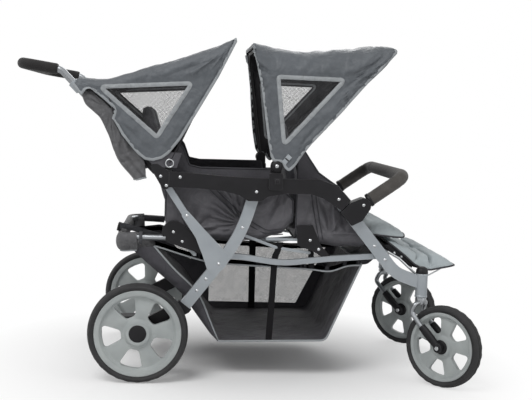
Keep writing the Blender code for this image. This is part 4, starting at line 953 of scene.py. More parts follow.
# canopies: each is one sheet over its bows, with a net window in both sides
# folds are focus, seed and depth; creases are two ends, width and depth; front is where the seam runs
rearCanopyPlan = {
    "name": "rearCanopy", "half": 0.3303, "corner": 0.032, "twist": (0, 0), "body": "rear_canopy",
    "bow": "rear_bow", "count": (150, 96),
    "roof": [(-0.211, 0.895), (-0.192, 0.919), (-0.114, 0.918), (-0.016, 0.949), (0.095, 0.983),
             (0.18, 1.013), (0.271, 1.053)],
    "hem": [(-0.186, 0.866), (-0.172, 0.885), (-0.16, 0.888), (-0.121, 0.859), (-0.081, 0.825),
            (-0.084, 0.808), (-0.088, 0.797), (-0.062, 0.752), (-0.034, 0.719), (-0.013, 0.696),
            (0.008, 0.68), (0.032, 0.677), (0.058, 0.685), (0.078, 0.7), (0.112, 0.744), (0.163, 0.832),
            (0.222, 0.937), (0.273, 1.043)],
    "window": [(-0.131, 0.8925), (0.142, 0.913), (0.042, 0.748)], "sag": 0.007,
    "front": (0.55, 0.985), "folds": [((0.045, 0.69), 2, 0.0016), ((-0.11, 0.89), 6, 0.0036),
                                      ((0.25, 1.03), 9, 0.003)],
    "creases": [((-0.19, 0.905), (-0.09, 0.905), 0.006, -0.005),
                ((-0.11, 0.905), (0.01, 0.935), 0.007, 0.004), ((0.01, 0.925), (0.03, 0.955), 0.006, -0.005),
                ((0.12, 0.93), (0.23, 1.01), 0.008, 0.004), ((0.06, 0.93), (0.2, 0.985), 0.009, -0.004),
                ((-0.075, 0.8), (-0.02, 0.72), 0.008, 0.003)],
    "bowLine": (pivots["rear"], (0.248, 1.03)),
}
frontCanopyPlan = {
    "name": "frontCanopy", "half": 0.3396, "corner": 0.075, "twist": (0.018, 0.022), "body": "front_canopy",
    "bow": "front_bow", "count": (150, 96),
    "roof": [(0.324, 1.028), (0.331, 1.042), (0.427, 1.027), (0.5, 1.026), (0.591, 1.035), (0.675, 1.046),
             (0.742, 1.047), (0.761, 1.035)],
    "hem": [(0.328, 1.015), (0.353, 0.909), (0.377, 0.758), (0.388, 0.702), (0.396, 0.687), (0.424, 0.685),
            (0.431, 0.668), (0.444, 0.657), (0.463, 0.676), (0.486, 0.712), (0.511, 0.745), (0.59, 0.833),
            (0.669, 0.926), (0.742, 1.005), (0.76, 1.026)],
    "window": [(0.402, 0.942), (0.605, 0.94), (0.427, 0.738)], "sag": 0.004,
    "front": (0.46, 0.985), "folds": [((0.425, 0.7), 3, 0.0018), ((0.6, 0.94), 8, 0.0034),
                                      ((0.4, 0.94), 11, 0.0024)],
    "creases": [((0.47, 0.955), (0.5, 1.015), 0.01, 0.007), ((0.6, 0.945), (0.7, 1.03), 0.01, 0.006),
                ((0.43, 1.0), (0.52, 0.985), 0.007, -0.004), ((0.56, 0.88), (0.68, 0.975), 0.007, -0.004),
                ((0.34, 0.99), (0.4, 0.94), 0.006, 0.003), ((0.48, 0.74), (0.53, 0.8), 0.006, -0.004),
                ((0.64, 0.935), (0.74, 1.015), 0.006, 0.005)],
    "bowLine": (pivots["front"], (0.752, 1.012)),
}
trimPlan = {"cloth": 0.0012, "net": 0.0016, "binding": (0.0068, 0.0013), "bindingInset": 0.012,
            "seam": 0.0013, "seamInset": 0.0165, "windowTape": (0.013, 0.0022), "lining": (0.006, 0.0008),
            "piping": 0.0026}


def canopyPoint(plan, s, t, inset=0.0):
    top, low = onPath(plan["roofCurve"], t), onPath(plan["hemCurve"], t)
    half = plan["half"]
    drop = top - low
    length = drop.length
    corner = min(plan["corner"], 0.45 * length + 1e-4)
    run = drop / length if length > 1e-5 else Vector((0, 0, 1))
    share = 1 - s if s > 0.5 else s
    if share < 0.34:
        along, y, level = (length - corner) * share / 0.34, -half, 0.0
        along = max(along, min(inset, length))
    elif share < 0.42:
        turn = (share - 0.34) / 0.08 * math.pi / 2
        along = length - corner + corner * math.sin(turn)
        y, level = -half + corner * (1 - math.cos(turn)), math.sin(turn)
    else:
        along, y, level = length, -(half - corner) * (0.5 - share) / 0.08, 1.0
    spot = low + run * along
    x, z = spot.x, spot.z
    across = 1 - (y / half) ** 2
    inner = math.sin(math.pi * min(1, max(0, t)))
    calm = smooth((triangleGap(x, z, plan["window"]) - 0.006) / 0.03)
    seed = 0 if s < 0.5 else 17
    side = creaseLines(x, z, plan["creases"])
    for focus, number, depth in plan["folds"]:
        side += depth * fanFolds(x, z, focus, number + seed)
    side += 0.0022 * slowNoise(x * 16, z * 16, seed + 1) \
        + 0.001 * slowNoise(x * 45, z * 38, seed)
    roof = 0.004 * slowNoise(x * 13, y * 7, 3) + 0.0022 * slowNoise(x * 34, y * 14, 5)
    roof += 0.003 * fanFolds(y, x * 0.7, (0.3 * (1 if s > 0.5 else -1), plan["roofCurve"][-1][0] * 0.7),
                             4 + seed)
    taut = smooth(inner * 6)
    spot.z += (roof * taut - plan["sag"] * across * inner) * level
    y += min(0.0055, max(-0.0085, -side * 1.5 - 0.0008)) * calm * (1 - level) * (0.35 + 0.65 * taut)
    spot.y = -y if s > 0.5 else y
    # the rear bow sits a little twisted, its far end further forward and higher
    pull = (0.5 + 0.5 * spot.y / half) * min(1, max(0, (z - 0.7) / 0.32)) * (1 - smooth(t / 0.4)) * calm
    return spot + Vector((plan["twist"][0], 0, plan["twist"][1])) * pull


def canopyGrid(plan, keepWindow):
    half = plan["half"]
    bm = warpedGrid(*plan["count"], lambda s, t: canopyPoint(plan, s, t), (1.35, 0.55))
    window = plan["window"]
    for (x0, z0), (x1, z1) in zip(window, window[1:] + window[:1]):
        nearby = [f for f in bm.faces if abs(f.calc_center_median().y) > half - 0.008]
        verts, edges = {v for f in nearby for v in f.verts}, {e for f in nearby for e in f.edges}
        normal = Vector((z1 - z0, 0, -(x1 - x0))).normalized()
        bmesh.ops.bisect_plane(bm, geom=list(verts) + list(edges) + nearby, plane_co=(x0, 0, z0),
                               plane_no=normal, dist=1e-6)
    doomed = []
    for face in bm.faces:
        centre = face.calc_center_median()
        inside = abs(centre.y) > half - 0.008 and triangleGap(centre.x, centre.z, window) < 1e-5
        if inside != keepWindow:
            doomed.append(face)
    bmesh.ops.delete(bm, geom=doomed, context="FACES")
    bmesh.ops.recalc_face_normals(bm, faces=bm.faces)
    return bm


def edgeBand(plan, spots, width, height):
    # binding tape folded over the sheet's edge; spots are (s, t) on the edge and (s, t) a little inside it
    rows = []
    points = [canopyPoint(plan, *spot[0]) for spot in spots]
    count = len(points)
    for i, (edge, inner) in enumerate(spots):
        here = points[i]
        run = (points[(i + 1) % count] - points[i - 1])
        run = run.normalized() if run.length > 1e-7 else Vector((1, 0, 0))
        inward = canopyPoint(plan, *inner) - here
        inward -= run * inward.dot(run)
        inward = inward.normalized() if inward.length > 1e-6 else Vector((0, 1, 0))
        normal = run.cross(inward).normalized()
        rise = normal * height
        rows.append([here - inward * 0.0016, here - inward * 0.0008 + rise,
                     here + inward * width * 0.5 + rise, here + inward * width + normal * height * 0.55,
                     here + inward * width - normal * height * 0.55, here + inward * width * 0.5 - rise,
                     here - inward * 0.0008 - rise])
    return ringSkin(rows, True)


def windowTape(points, width, thickness, outward):
    # a closed band in the side plane, crowned and a little crinkled
    count = len(points)
    rows = []
    for i, here in enumerate(points):
        run = (points[(i + 1) % count] - points[i - 1]).normalized()
        side = Vector((run.z, 0, -run.x))
        puff = 1 + 0.6 * slowNoise(here.x * 120, here.z * 120, outward)
        rise = Vector((0, outward * thickness * puff, 0))
        wide = width * (1 + 0.1 * slowNoise(here.x * 70, here.z * 70, 5))
        sunk = Vector((0, -outward * 0.0022, 0))
        rows.append([here - side * wide / 2 + sunk, here - side * wide / 2 + rise * 0.3,
                     here - side * wide * 0.25 + rise, here + side * wide * 0.25 + rise,
                     here + side * wide / 2 + rise * 0.3, here + side * wide / 2 + sunk])
    return ringSkin(rows, True)


def followBow(piece, plan):
    # the piece's placement is baked into its mesh; nothing is moved with the bow
    (x0, z0), (x1, z1) = plan["bowLine"]
    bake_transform(piece)


def makeCanopy(plan, node):
    plan["roofCurve"] = flatCurve(curvedPath, plan["roof"], 6)
    plan["hemCurve"] = flatCurve(roundedPath, plan["hem"], 0.008, 3)
    half, window = plan["half"], plan["window"]
    sheet = makePiece(plan["name"] + "Cloth", canopyGrid(plan, False), canopyNylon, None, 180)
    area = flatArea(sheet)
    addThickness(sheet, trimPlan["cloth"], -1, canopyLining)
    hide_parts(node)
    net = makePiece(plan["name"] + "Net", canopyGrid(plan, True), windowNet, None, 180)
    inset = trimPlan["bindingInset"]
    spots = [((0, k / 160), (0.05, k / 160)) for k in range(161)]
    spots += [((k / 120, 1), (k / 120, 1 - inset)) for k in range(1, 121)]
    spots += [((1, 1 - k / 160), (0.95, 1 - k / 160)) for k in range(1, 161)]
    spots += [((1 - k / 120, 0), (1 - k / 120, inset)) for k in range(1, 120)]
    binding = makePiece(plan["name"] + "Binding", edgeBand(plan, spots, *trimPlan["binding"]), pipingTape,
                        None, 60)
    seams = bmesh.new()
    low, high = plan["front"]
    for s in (0.0, 1.0):
        line = [canopyPoint(plan, s, low + (high - low) * k / 90, trimPlan["seamInset"]) for k in range(91)]
        addShape(seams, sweptTube(line, trimPlan["seam"], 6))
    seam = makePiece(plan["name"] + "Seam", seams, canopyNylon, None, 180)
    trims = bmesh.new()
    for sign in (-1, 1):
        ring = roundedPath([(x, sign * (half + 0.0003), z) for x, z in window], 0.007, 5, True)
        addShape(trims, windowTape(evenPath(ring, 240, True), *trimPlan["windowTape"], sign))
    tape = makePiece(plan["name"] + "WindowTape", trims, crinkledTape, None, 60)
    lines = bmesh.new()
    middle = Vector((sum(p[0] for p in window) / 3, 0, sum(p[1] for p in window) / 3))
    for sign in (-1, 1):  # dark tape on the inside, seen through the window
        grown = [(middle + (Vector((x, 0, z)) - middle) * 0.955) for x, z in window]
        ring = roundedPath([(p.x, sign * (half - trimPlan["net"]), p.z) for p in grown], 0.006, 4, True)
        addShape(lines, windowTape(evenPath(ring, 90, True), *trimPlan["lining"], -sign))
    inner = makePiece(plan["name"] + "WindowLining", lines, darkPiping, None, 60)
    for piece in (sheet, net, binding, seam, tape, inner):
        followBow(piece, plan)
    print("area of", plan["name"], round(area, 4))
    return sheet, area


rearSheet, rearArea = makeCanopy(rearCanopyPlan, "rear_canopy_cover")
frontSheet, frontArea = makeCanopy(frontCanopyPlan, "front_canopy_cover")

bowPlan = {
    "rear_canopy_bow": {"body": "rear_bow", "pivot": pivots["rear"], "tip": (0.248, 1.03), "y": 0.3235,
                        "lift": 0, "bend": 0.045},
    "front_canopy_rear_bow": {"body": "front_canopy", "pivot": pivots["front"], "tip": (0.334, 1.022),
                              "y": 0.3235, "lift": 0, "bend": 0.08, "twist": (0.018, 0.022)},
    "front_canopy_front_bow": {"body": "front_bow", "pivot": pivots["front"], "tip": (0.752, 1.012),
                               "y": 0.3328, "lift": 0.0198, "bend": 0.085},
}
for node, plan in bowPlan.items():
    (px, pz), (tx, tz), y = plan["pivot"], plan["tip"], plan["y"]
    run = Vector((tx - px, 0, tz - pz)).normalized() * plan["lift"]
    ahead, up = plan.get("twist", (0, 0))
    corners = [(px + run.x, -y, pz + run.z), (tx, -y, tz), (tx + ahead, y, tz + up),
               (px + run.x, y, pz + run.z)]
    rod = sweptTube(roundedPath(corners, plan["bend"], 8), 0.0045, 12)
    bar = makePiece(node.replace("_", "") + "Rod", rod, blackNylon, plan["body"], 60)
    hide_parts(node)
print("stage: canopies")


# rear drape: closes the back of the rear canopy and wraps round the push handle's tubes
drapePlan = {
    "outer": [(-0.203, 0.893), (-0.19, 0.866), (-0.178, 0.839), (-0.154, 0.817), (-0.133, 0.796),
              (-0.111, 0.752), (-0.086, 0.689), (-0.061, 0.651), (-0.026, 0.614)],
    "inner": [(-0.176, 0.878), (-0.16, 0.88), (-0.121, 0.851), (-0.09, 0.822), (-0.078, 0.795),
              (-0.056, 0.76), (-0.03, 0.728), (-0.004, 0.7), (0.008, 0.664), (0.012, 0.624)],
    "half": 0.3215, "bend": 0.016, "count": (170, 84),
}


def drapePoint(s, t):
    outer, inner = onPath(drapePlan["outerCurve"], t), onPath(drapePlan["innerCurve"], t)
    half = drapePlan["half"]
    side = inner - outer
    wide = side.length
    bend = min(drapePlan["bend"], 0.45 * wide)
    inward = side / wide
    share = 1 - s if s > 0.5 else s
    if share < 0.12:
        deep, y = bend + (wide - bend) * (1 - share / 0.12), -half
    elif share < 0.17:
        turn = (share - 0.12) / 0.05 * math.pi / 2
        deep, y = bend * (1 - math.sin(turn)), -half + bend * (1 - math.cos(turn))
    else:
        deep, y = 0, -(half - bend) * (0.5 - share) / 0.33
    level = smooth((share - 0.12) / 0.05)
    seed = 0 if s < 0.5 else 7
    hang = 0.25 + 0.75 * t
    fold = 0.5 + 0.5 * math.sin(y * 58 + 3 * slowNoise(y * 6, t * 2, 1))
    deep += (0.01 * fold + 0.004 * slowNoise(y * 18, t * 6, 5)) * hang * level
    spot = outer + inward * deep
    pleat = fanFolds(spot.x, spot.z, (-0.09, 0.83), 3 + seed, 11) \
        + 0.6 * fanFolds(spot.x, spot.z, (0.005, 0.69), 5 + seed, 12)
    y += (0.0045 * pleat + 0.003 * math.sin(deep * 260) * t) * (1 - level)
    spot.y = -y if s > 0.5 else y
    return spot


def makeDrape():
    drapePlan["outerCurve"] = flatCurve(curvedPath, drapePlan["outer"], 4)
    drapePlan["innerCurve"] = flatCurve(roundedPath, drapePlan["inner"], 0.02, 3)
    drape = makePiece("rearDrape", warpedGrid(*drapePlan["count"], drapePoint, (0.72, 0.34)), drapeNylon,
                      None, 180)
    area = flatArea(drape)
    addThickness(drape, trimPlan["cloth"])
    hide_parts("rear_drape")
    hem = sweptTube(evenPath([drapePoint(k / 140, 1) for k in range(141)], 220), trimPlan["piping"], 8)
    hem = makePiece("rearDrapeHem", hem, pipingTape, None, 180)
    for piece in (drape, hem):
        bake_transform(piece)
    print("area of rearDrape", round(area, 4))
    return drape, area


drapeSheet, drapeArea = makeDrape()
print("stage: rear drape")


# seats: a hanging sling for each row, with cushions and padded backs
# folds are focus, count, depth and heading; lines are two ends, width and depth; bulges are centre,
# radius and height; pressed are where a bracket holds the cloth flat; band is the seam down the side
seatPlan = {
    "rear": {"half": 0.2715, "from": 0.072, "to": 0.468, "node": "rear_seat", "count": (190, 110),
             "top": [(0.07, 0.592), (0.088, 0.6), (0.094, 0.69), (0.11, 0.73), (0.124, 0.712),
                     (0.142, 0.664), (0.18, 0.657), (0.3, 0.658), (0.404, 0.659), (0.414, 0.615),
                     (0.47, 0.56)],
             "low": [(0.07, 0.505), (0.078, 0.44), (0.102, 0.429), (0.23, 0.427), (0.355, 0.43),
                     (0.44, 0.457), (0.47, 0.492)],
             "folds": [((0.312, 0.486), 23, 0.012, 150), ((0.14, 0.44), 11, 0.012, 50),
                       ((0.44, 0.6), 11, 0.011, 210)],
             "lines": [((0.13, 0.45), (0.29, 0.454), 0.006, 0.01),
                       ((0.15, 0.474), (0.3, 0.466), 0.006, 0.009),
                       ((0.2, 0.62), (0.33, 0.492), 0.006, -0.007),
                       ((0.215, 0.622), (0.345, 0.5), 0.006, 0.006),
                       ((0.39, 0.47), (0.47, 0.6), 0.009, 0.007)],
             "bulges": [((0.18, 0.56), 0.045, 0.016), ((0.418, 0.525), 0.05, 0.015),
                        ((0.32, 0.56), 0.04, 0.01)],
             "pressed": [((0.1, 0.455), 0.04), ((0.127, 0.427), 0.03), ((0.486, 0.47), 0.03)],
             "band": [(0.208, 0.598), (0.262, 0.548), (0.322, 0.498), (0.388, 0.462), (0.44, 0.462)],
             "floor": 0.5, "back": (0.096, 0.5178), "backTop": (0.0, 0.838), "cushion": (0.128, 0.43)},
    "front": {"half": 0.2715, "from": 0.48, "to": 0.71, "node": "front_seat", "count": (190, 80),
              "top": [(0.478, 0.735), (0.492, 0.728), (0.518, 0.69), (0.545, 0.652), (0.58, 0.628),
                      (0.612, 0.608), (0.64, 0.546), (0.708, 0.48), (0.712, 0.47)],
              "low": [(0.478, 0.442), (0.5, 0.434), (0.56, 0.424), (0.6, 0.42), (0.69, 0.42),
                      (0.712, 0.432)],
              "folds": [((0.585, 0.452), 9, 0.011, 70), ((0.545, 0.59), 9, 0.007, 300)],
              "lines": [((0.592, 0.59), (0.602, 0.462), 0.006, 0.01),
                        ((0.61, 0.585), (0.64, 0.47), 0.01, -0.008),
                        ((0.6, 0.458), (0.72, 0.48), 0.007, 0.01),
                        ((0.64, 0.56), (0.69, 0.5), 0.009, 0.006)],
              "bulges": [((0.625, 0.492), 0.055, 0.007), ((0.56, 0.53), 0.045, 0.006)],
              "pressed": [((0.5, 0.455), 0.04), ((0.545, 0.42), 0.035), ((0.668, 0.53), 0.05)],
              "band": [(0.532, 0.592), (0.54, 0.54), (0.553, 0.48), (0.562, 0.44)],
              "floor": 0.48, "back": (0.501, 0.4978), "backTop": (0.425, 0.806), "cushion": (0.528, 0.7)},
}
slingPlan = {"corner": 0.035, "cloth": 0.0028, "seam": 0.0019, "seamGap": 0.0065, "seamLift": 0.0006,
             "panelFoot": 0.606, "deepest": 0.018, "proudest": 0.01}


def heightAt(points, x):  # the height of a line of (x, z) points
    for (x0, z0), (x1, z1) in zip(points, points[1:]):
        if x0 <= x <= x1:
            return z0 + (z1 - z0) * (x - x0) / (x1 - x0)
    return points[0][1] if x < points[0][0] else points[-1][1]


def gathered(x, z, focus, count, seed, heading):
    # soft round folds that fan out one way from the point where the cloth is sewn down; 0 to 1
    reach, angle = math.hypot(x - focus[0], z - focus[1]), math.atan2(z - focus[1], x - focus[0])
    wander = 1.6 * slowNoise(x * 11, z * 11, seed + count)
    wave = 0.5 + 0.5 * math.sin(angle * count + wander)
    fan = smooth(1.6 - abs((math.degrees(angle) - heading + 180) % 360 - 180) / 50)
    return wave ** 1.6 * fan * smooth(reach / 0.035) * (1 - smooth((reach - 0.07) / 0.08))


def sideRelief(plan, x, z, seed):
    # how far the cloth stands out from its side plane: bulges less the folds, held flat behind brackets
    value = -0.003
    for (bx, bz), radius, height in plan["bulges"]:
        value += height * math.exp(-((x - bx) ** 2 + (z - bz) ** 2) / radius ** 2)
    for focus, count, depth, heading in plan["folds"]:
        value -= depth * gathered(x, z, focus, count, seed, heading)
    value += creaseLines(x, z, plan["lines"])
    value += 0.0035 * slowNoise(x * 13, z * 13, seed)
    band = min(math.hypot(x - p.x, z - p.z) for p in plan["bandCurve"])
    value -= 0.006 * math.exp(-(band / 0.01) ** 2)
    under = 1 - smooth((z - 0.585) / 0.03)  # the panel above the rail is drawn tight
    value = value * under + 0.0008 * slowNoise(x * 20, z * 12, seed) * (1 - under)
    for (hx, hz), radius in plan["pressed"]:
        away = smooth((math.hypot(x - hx, z - hz) - radius) / 0.03)
        value = min(value, 0.012 * away - 0.0012)
    return max(-slingPlan["deepest"], min(slingPlan["proudest"], value))


def slingPoint(plan, s, t):
    half = plan["half"]
    x = plan["from"] + (plan["to"] - plan["from"]) * t
    top, low = heightAt(plan["top"], x), heightAt(plan["low"], x)
    share = 1 - s if s > 0.5 else s
    bend = min(slingPlan["corner"], 0.4 * (top - low))
    if share < 0.36:
        z, y = top - (top - low - bend) * share / 0.36, -half
    elif share < 0.41:
        turn = (share - 0.36) / 0.05 * math.pi / 2
        z, y = low + bend * (1 - math.sin(turn)), -half + bend * (1 - math.cos(turn))
    else:
        z, y = low, -(half - bend) * (0.5 - share) / 0.09
    wall = 1 - smooth((share - 0.33) / 0.08)
    hem = smooth(share / 0.03)
    y -= sideRelief(plan, x, z, 0 if s < 0.5 else 21) * wall * hem
    z += (1 - wall) * 0.006 * slowNoise(x * 20, y * 12, 2)
    return Vector((x, -y if s > 0.5 else y, z))


def makeSling(row, plan):
    plan["bandCurve"] = evenPath(curvedPath([(x, 0, z) for x, z in plan["band"]], 6), 40)
    bm = warpedGrid(*plan["count"], lambda s, t: slingPoint(plan, s, t), (1.0, plan["to"] - plan["from"]))
    for face in bm.faces:
        centre = face.calc_center_median()
        if abs(centre.y) > plan["half"] - 0.02 and centre.z > slingPlan["panelFoot"]:
            face.material_index = 1
    sling = makePiece(row + "SeatSling", bm, seatCloth, "chassis", 180)
    sling.data.materials.append(sideCloth)
    area = flatArea(sling)
    addThickness(sling, slingPlan["cloth"], -1 if sling.data.polygons[0].normal.y < 0 else 1)
    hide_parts(plan["node"])
    rims = bmesh.new()
    for end in (0, 1):
        upright = evenPath([slingPoint(plan, end, k / 120) for k in range(121)], 150)
        level = evenPath([slingPoint(plan, k / 120, end) for k in range(121)], 160)
        addShape(rims, sweptTube(upright, trimPlan["piping"], 8))
        addShape(rims, sweptTube(level, trimPlan["piping"], 8))
    makePiece(row + "SeatPiping", rims, darkPiping, "chassis", 180)
    bands = bmesh.new()
    for sign in (-1, 1):
        for shift in (-slingPlan["seamGap"], slingPlan["seamGap"]):
            line = []
            for k, p in enumerate(plan["bandCurve"]):
                back = plan["bandCurve"][max(0, k - 1)]
                ahead = plan["bandCurve"][min(len(plan["bandCurve"]) - 1, k + 1)]
                run = (ahead - back).normalized()
                x, z = p.x - run.z * shift, p.z + run.x * shift
                out = plan["half"] + sideRelief(plan, x, z, 0 if sign < 0 else 21)
                line.append((x, sign * (out + slingPlan["seamLift"]), z))
            addShape(bands, sweptTube(line, slingPlan["seam"], 8))
    makePiece(row + "SeatSeamPiping", bands, darkPiping, "chassis", 180)
    print("area of", row, "sling", round(area, 4))
    return sling, area


def padShape(centre, along, across, width, height, thick, cuts, pull, crown):
    # a crowned pad whose sides pull in between its corners; width runs across, height along
    bm = bmesh.new()
    bmesh.ops.create_cube(bm, size=2)
    bmesh.ops.subdivide_edges(bm, edges=bm.edges[:], cuts=cuts, use_grid_fill=True)
    along, across = Vector(along).normalized(), Vector(across).normalized()
    normal = across.cross(along)
    for vert in bm.verts:
        a, b, c = vert.co
        rim = max(abs(a), abs(b))
        thin = (1 - max(0, (abs(a) - 0.55) / 0.45) ** 2.2 * crown) \
            * (1 - max(0, (abs(b) - 0.55) / 0.45) ** 2.2 * crown)
        u = a * (1 - pull * (1 - b * b)) * (1 - 0.06 * abs(b) ** 6)
        v = b * (1 - pull * (1 - a * a)) * (1 - 0.06 * abs(a) ** 6)
        side = 1 - 0.05 * (1 - c * c) if rim > 0.99 else 1
        vert.co = Vector(centre) + across * u * side * width / 2 + along * v * side * height / 2 \
            + normal * c * thin * thick / 2
    bmesh.ops.recalc_face_normals(bm, faces=bm.faces)
    return bm


def puffPad(pad, plan):
    # the cover is remade as even cloth, swells over its filling for twenty frames and keeps that shape
    even = pad.modifiers.new("evenCloth", "REMESH")
    even.mode = "VOXEL"
    even.voxel_size = plan["voxel"]
    even.use_smooth_shade = True
    graph = bpy.context.evaluated_depsgraph_get()
    mesh = bpy.data.meshes.new_from_object(pad.evaluated_get(graph))
    pad.modifiers.clear()
    pad.data = mesh
    rest = [v.co.copy() for v in mesh.vertices]
    cloth = pad.modifiers.new("filledCloth", "CLOTH")
    cloth.settings.mass = 0.3
    cloth.settings.tension_stiffness = plan["stiff"]
    cloth.settings.compression_stiffness = plan["stiff"]
    cloth.settings.bending_stiffness = 0.4
    cloth.settings.use_pressure = True
    cloth.settings.uniform_pressure_force = 4
    cloth.settings.effector_weights.gravity = 0
    cloth.point_cache.frame_start = 1
    cloth.point_cache.frame_end = 20
    for number in range(1, 21):
        scene.frame_set(number)
    graph = bpy.context.evaluated_depsgraph_get()
    blown = bpy.data.meshes.new_from_object(pad.evaluated_get(graph))
    pad.modifiers.clear()
    for vert, start in zip(blown.vertices, rest):
        move = vert.co - start
        if move.length > plan["cap"]:
            vert.co = start + move * (plan["cap"] / move.length)
    pad.data = blown
    scene.frame_set(1)


def quiltLines(pad, foot, run, shares, depth, width):
    # sewn lines across a pad draw its two faces together
    centre = sum((v.co for v in pad.data.vertices), Vector()) / len(pad.data.vertices)
    across = Vector((0, 1, 0))
    normal = across.cross(run).normalized()
    for vert in pad.data.vertices:
        place = (vert.co - foot).dot(run)
        dip = sum(math.exp(-((place - share) / width) ** 2) for share in shares)
        away = (vert.co - centre).dot(normal)
        vert.co -= normal * math.copysign(min(abs(away) * 0.8, depth * dip), away)


def softenPad(pad):
    fine = pad.modifiers.new("smoothCover", "SUBSURF")
    fine.levels = 1
    fine.render_levels = 1


padPlan = {"cushion": {"voxel": 0.006, "cap": 0.007, "stiff": 10},
           "back": {"voxel": 0.006, "cap": 0.006, "stiff": 10},
           "backThick": 0.027, "cushionThick": 0.036, "backWide": 0.234, "backMiddle": 0.13115,
           "extra": 0.026, "headFrom": 0.72, "headPad": (0.12, 0.07, 0.01), "seamDeep": 0.004,
           "seamWide": 0.006, "strap": (0.025, 0.0014)}


def makePads(row, plan):
    half = plan["half"] - 0.016
    x0, x1 = plan["cushion"]
    foot, top = [Vector((x, 0, z)) for x, z in (plan["back"], plan["backTop"])]
    run = (top - foot).normalized()
    front = Vector((run.z, 0, -run.x))
    for side, sign in sides:
        centre = ((x0 + x1) / 2, sign * (half + 0.006) / 2, plan["floor"] - 0.018)
        bm = padShape(centre, (1, 0, 0), (0, -1, 0), half - 0.012, x1 - x0, padPlan["cushionThick"], 12,
                      0.02, 0.55)
        pad = makePiece(row + "SeatPad_" + side, bm, seatPadCloth, "chassis", 180)
        puffPad(pad, padPlan["cushion"])
        quiltLines(pad, Vector((x0, 0, 0)) + home, Vector((1, 0, 0)), [(x1 - x0) * k for k in (0.35, 0.68)],
                   padPlan["seamDeep"], padPlan["seamWide"])
        softenPad(pad)
        middle = (foot + top) / 2
        middle.y = sign * padPlan["backMiddle"]
        length = (top - foot).length + padPlan["extra"]
        bm = padShape(middle, run, (0, -1, 0), padPlan["backWide"], length, padPlan["backThick"], 14, 0.02,
                      0.45)
        for vert in bm.verts:  # the top narrows to a rounded head end
            share = (vert.co - foot).dot(run) / length
            if share > padPlan["headFrom"]:
                narrow = math.sqrt(max(0, 1 - ((share - padPlan["headFrom"]) / 0.36) ** 2))
                vert.co.y = middle.y + (vert.co.y - middle.y) * narrow
        back = makePiece(row + "SeatBack_" + side, bm, seatPadCloth, row + "_back_" + side, 180)
        puffPad(back, padPlan["back"])
        quiltLines(back, foot + home, run, [length * k for k in (0.3, 0.55, 0.78)], padPlan["seamDeep"],
                   padPlan["seamWide"])
        softenPad(back)
        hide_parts(row + "_seat_back_" + side)
        head = middle + run * length * 0.34 + front * 0.0148
        bm = padShape(head, run, (0, -1, 0), *padPlan["headPad"], 10, 0.03, 0.7)
        pillow = makePiece(row + "HeadPad_" + side, bm, headPadCloth, row + "_back_" + side, 180)
        softenPad(pillow)
        straps = bmesh.new()
        for shift in (-0.045, 0.045):
            line = []
            for k in range(25):
                share = k / 24
                lift = 0.016 + 0.01 * math.sin(math.pi * share)
                spot = middle + run * length * (0.26 - 0.62 * share) + front * lift
                spot.y += shift * (1 - 0.35 * share)
                line.append(spot)
            addShape(straps, flatStrap(line, (0, 1, 0), *padPlan["strap"]))
        makePiece(row + "Harness_" + side, straps, blackWebbing, row + "_back_" + side, 60)
        x = x0 + 0.115
        rise = [(x, middle.y, plan["floor"] - 0.006), (x + 0.004, middle.y, plan["floor"] + 0.02),
                (x - 0.006, middle.y, plan["floor"] + 0.048), (x - 0.02, middle.y, plan["floor"] + 0.064)]
        strap = flatStrap(evenPath(curvedPath(rise, 5), 20), (0, 1, 0), *padPlan["strap"])
        makePiece(row + "CrotchStrap_" + side, strap, blackWebbing, "chassis", 60)
        buckle = flatPlate([(x - 0.044, 0), (x - 0.038, 0.024), (x, 0.02), (x, -0.02),
                            (x - 0.038, -0.024)], -0.006, 0.006, 0.002, 2)
        lift = plan["floor"] + 0.068
        stand = Matrix.Translation((0, middle.y, lift)) @ Matrix.Rotation(math.radians(90), 4, "X")
        lean = Matrix.Rotation(math.radians(40), 4, "Y")
        tilt = Matrix.Translation((x, 0, lift)) @ lean @ Matrix.Translation((-x, 0, -lift))
        makePiece(row + "Buckle_" + side, buckle, blackNylon, "chassis", 30, tilt @ stand)


for row, plan in seatPlan.items():
    makeSling(row, plan)
    makePads(row, plan)
print("stage: seats")


# basket: one hanging tray with a net side away from the camera and an open near side
basketPlan = {
    "half": 0.27,
    "tray": [(-0.032, 0.403), (0.02, 0.356), (0.099, 0.291), (0.134, 0.258), (0.173, 0.204), (0.222, 0.138),
             (0.247, 0.112), (0.588, 0.12), (0.693, 0.366)],
    "top": [(-0.032, 0.403), (0.044, 0.413), (0.191, 0.374), (0.271, 0.367), (0.39, 0.36), (0.528, 0.356),
            (0.6, 0.36), (0.693, 0.367)],
    "nearTop": [(0.044, 0.413), (0.191, 0.371), (0.271, 0.362), (0.39, 0.357), (0.528, 0.351),
                (0.593, 0.346), (0.648, 0.364), (0.69, 0.368)],
    "opening": [(0.04, 0.409), (0.101, 0.341), (0.158, 0.288), (0.19, 0.247), (0.218, 0.182),
                (0.247, 0.114)],
    "netFront": [(0.547, 0.129), (0.61, 0.256)], "netLow": 0.137, "netRear": 0.229, "foldEnd": 0.249,
    "trayCloth": 0.0016, "sideCloth": 0.0014, "from": -0.031, "to": 0.692, "floor": 0.115,
    "flapFoot": (0.6925, 0.366), "flapReach": (0.052, 0.037),
}
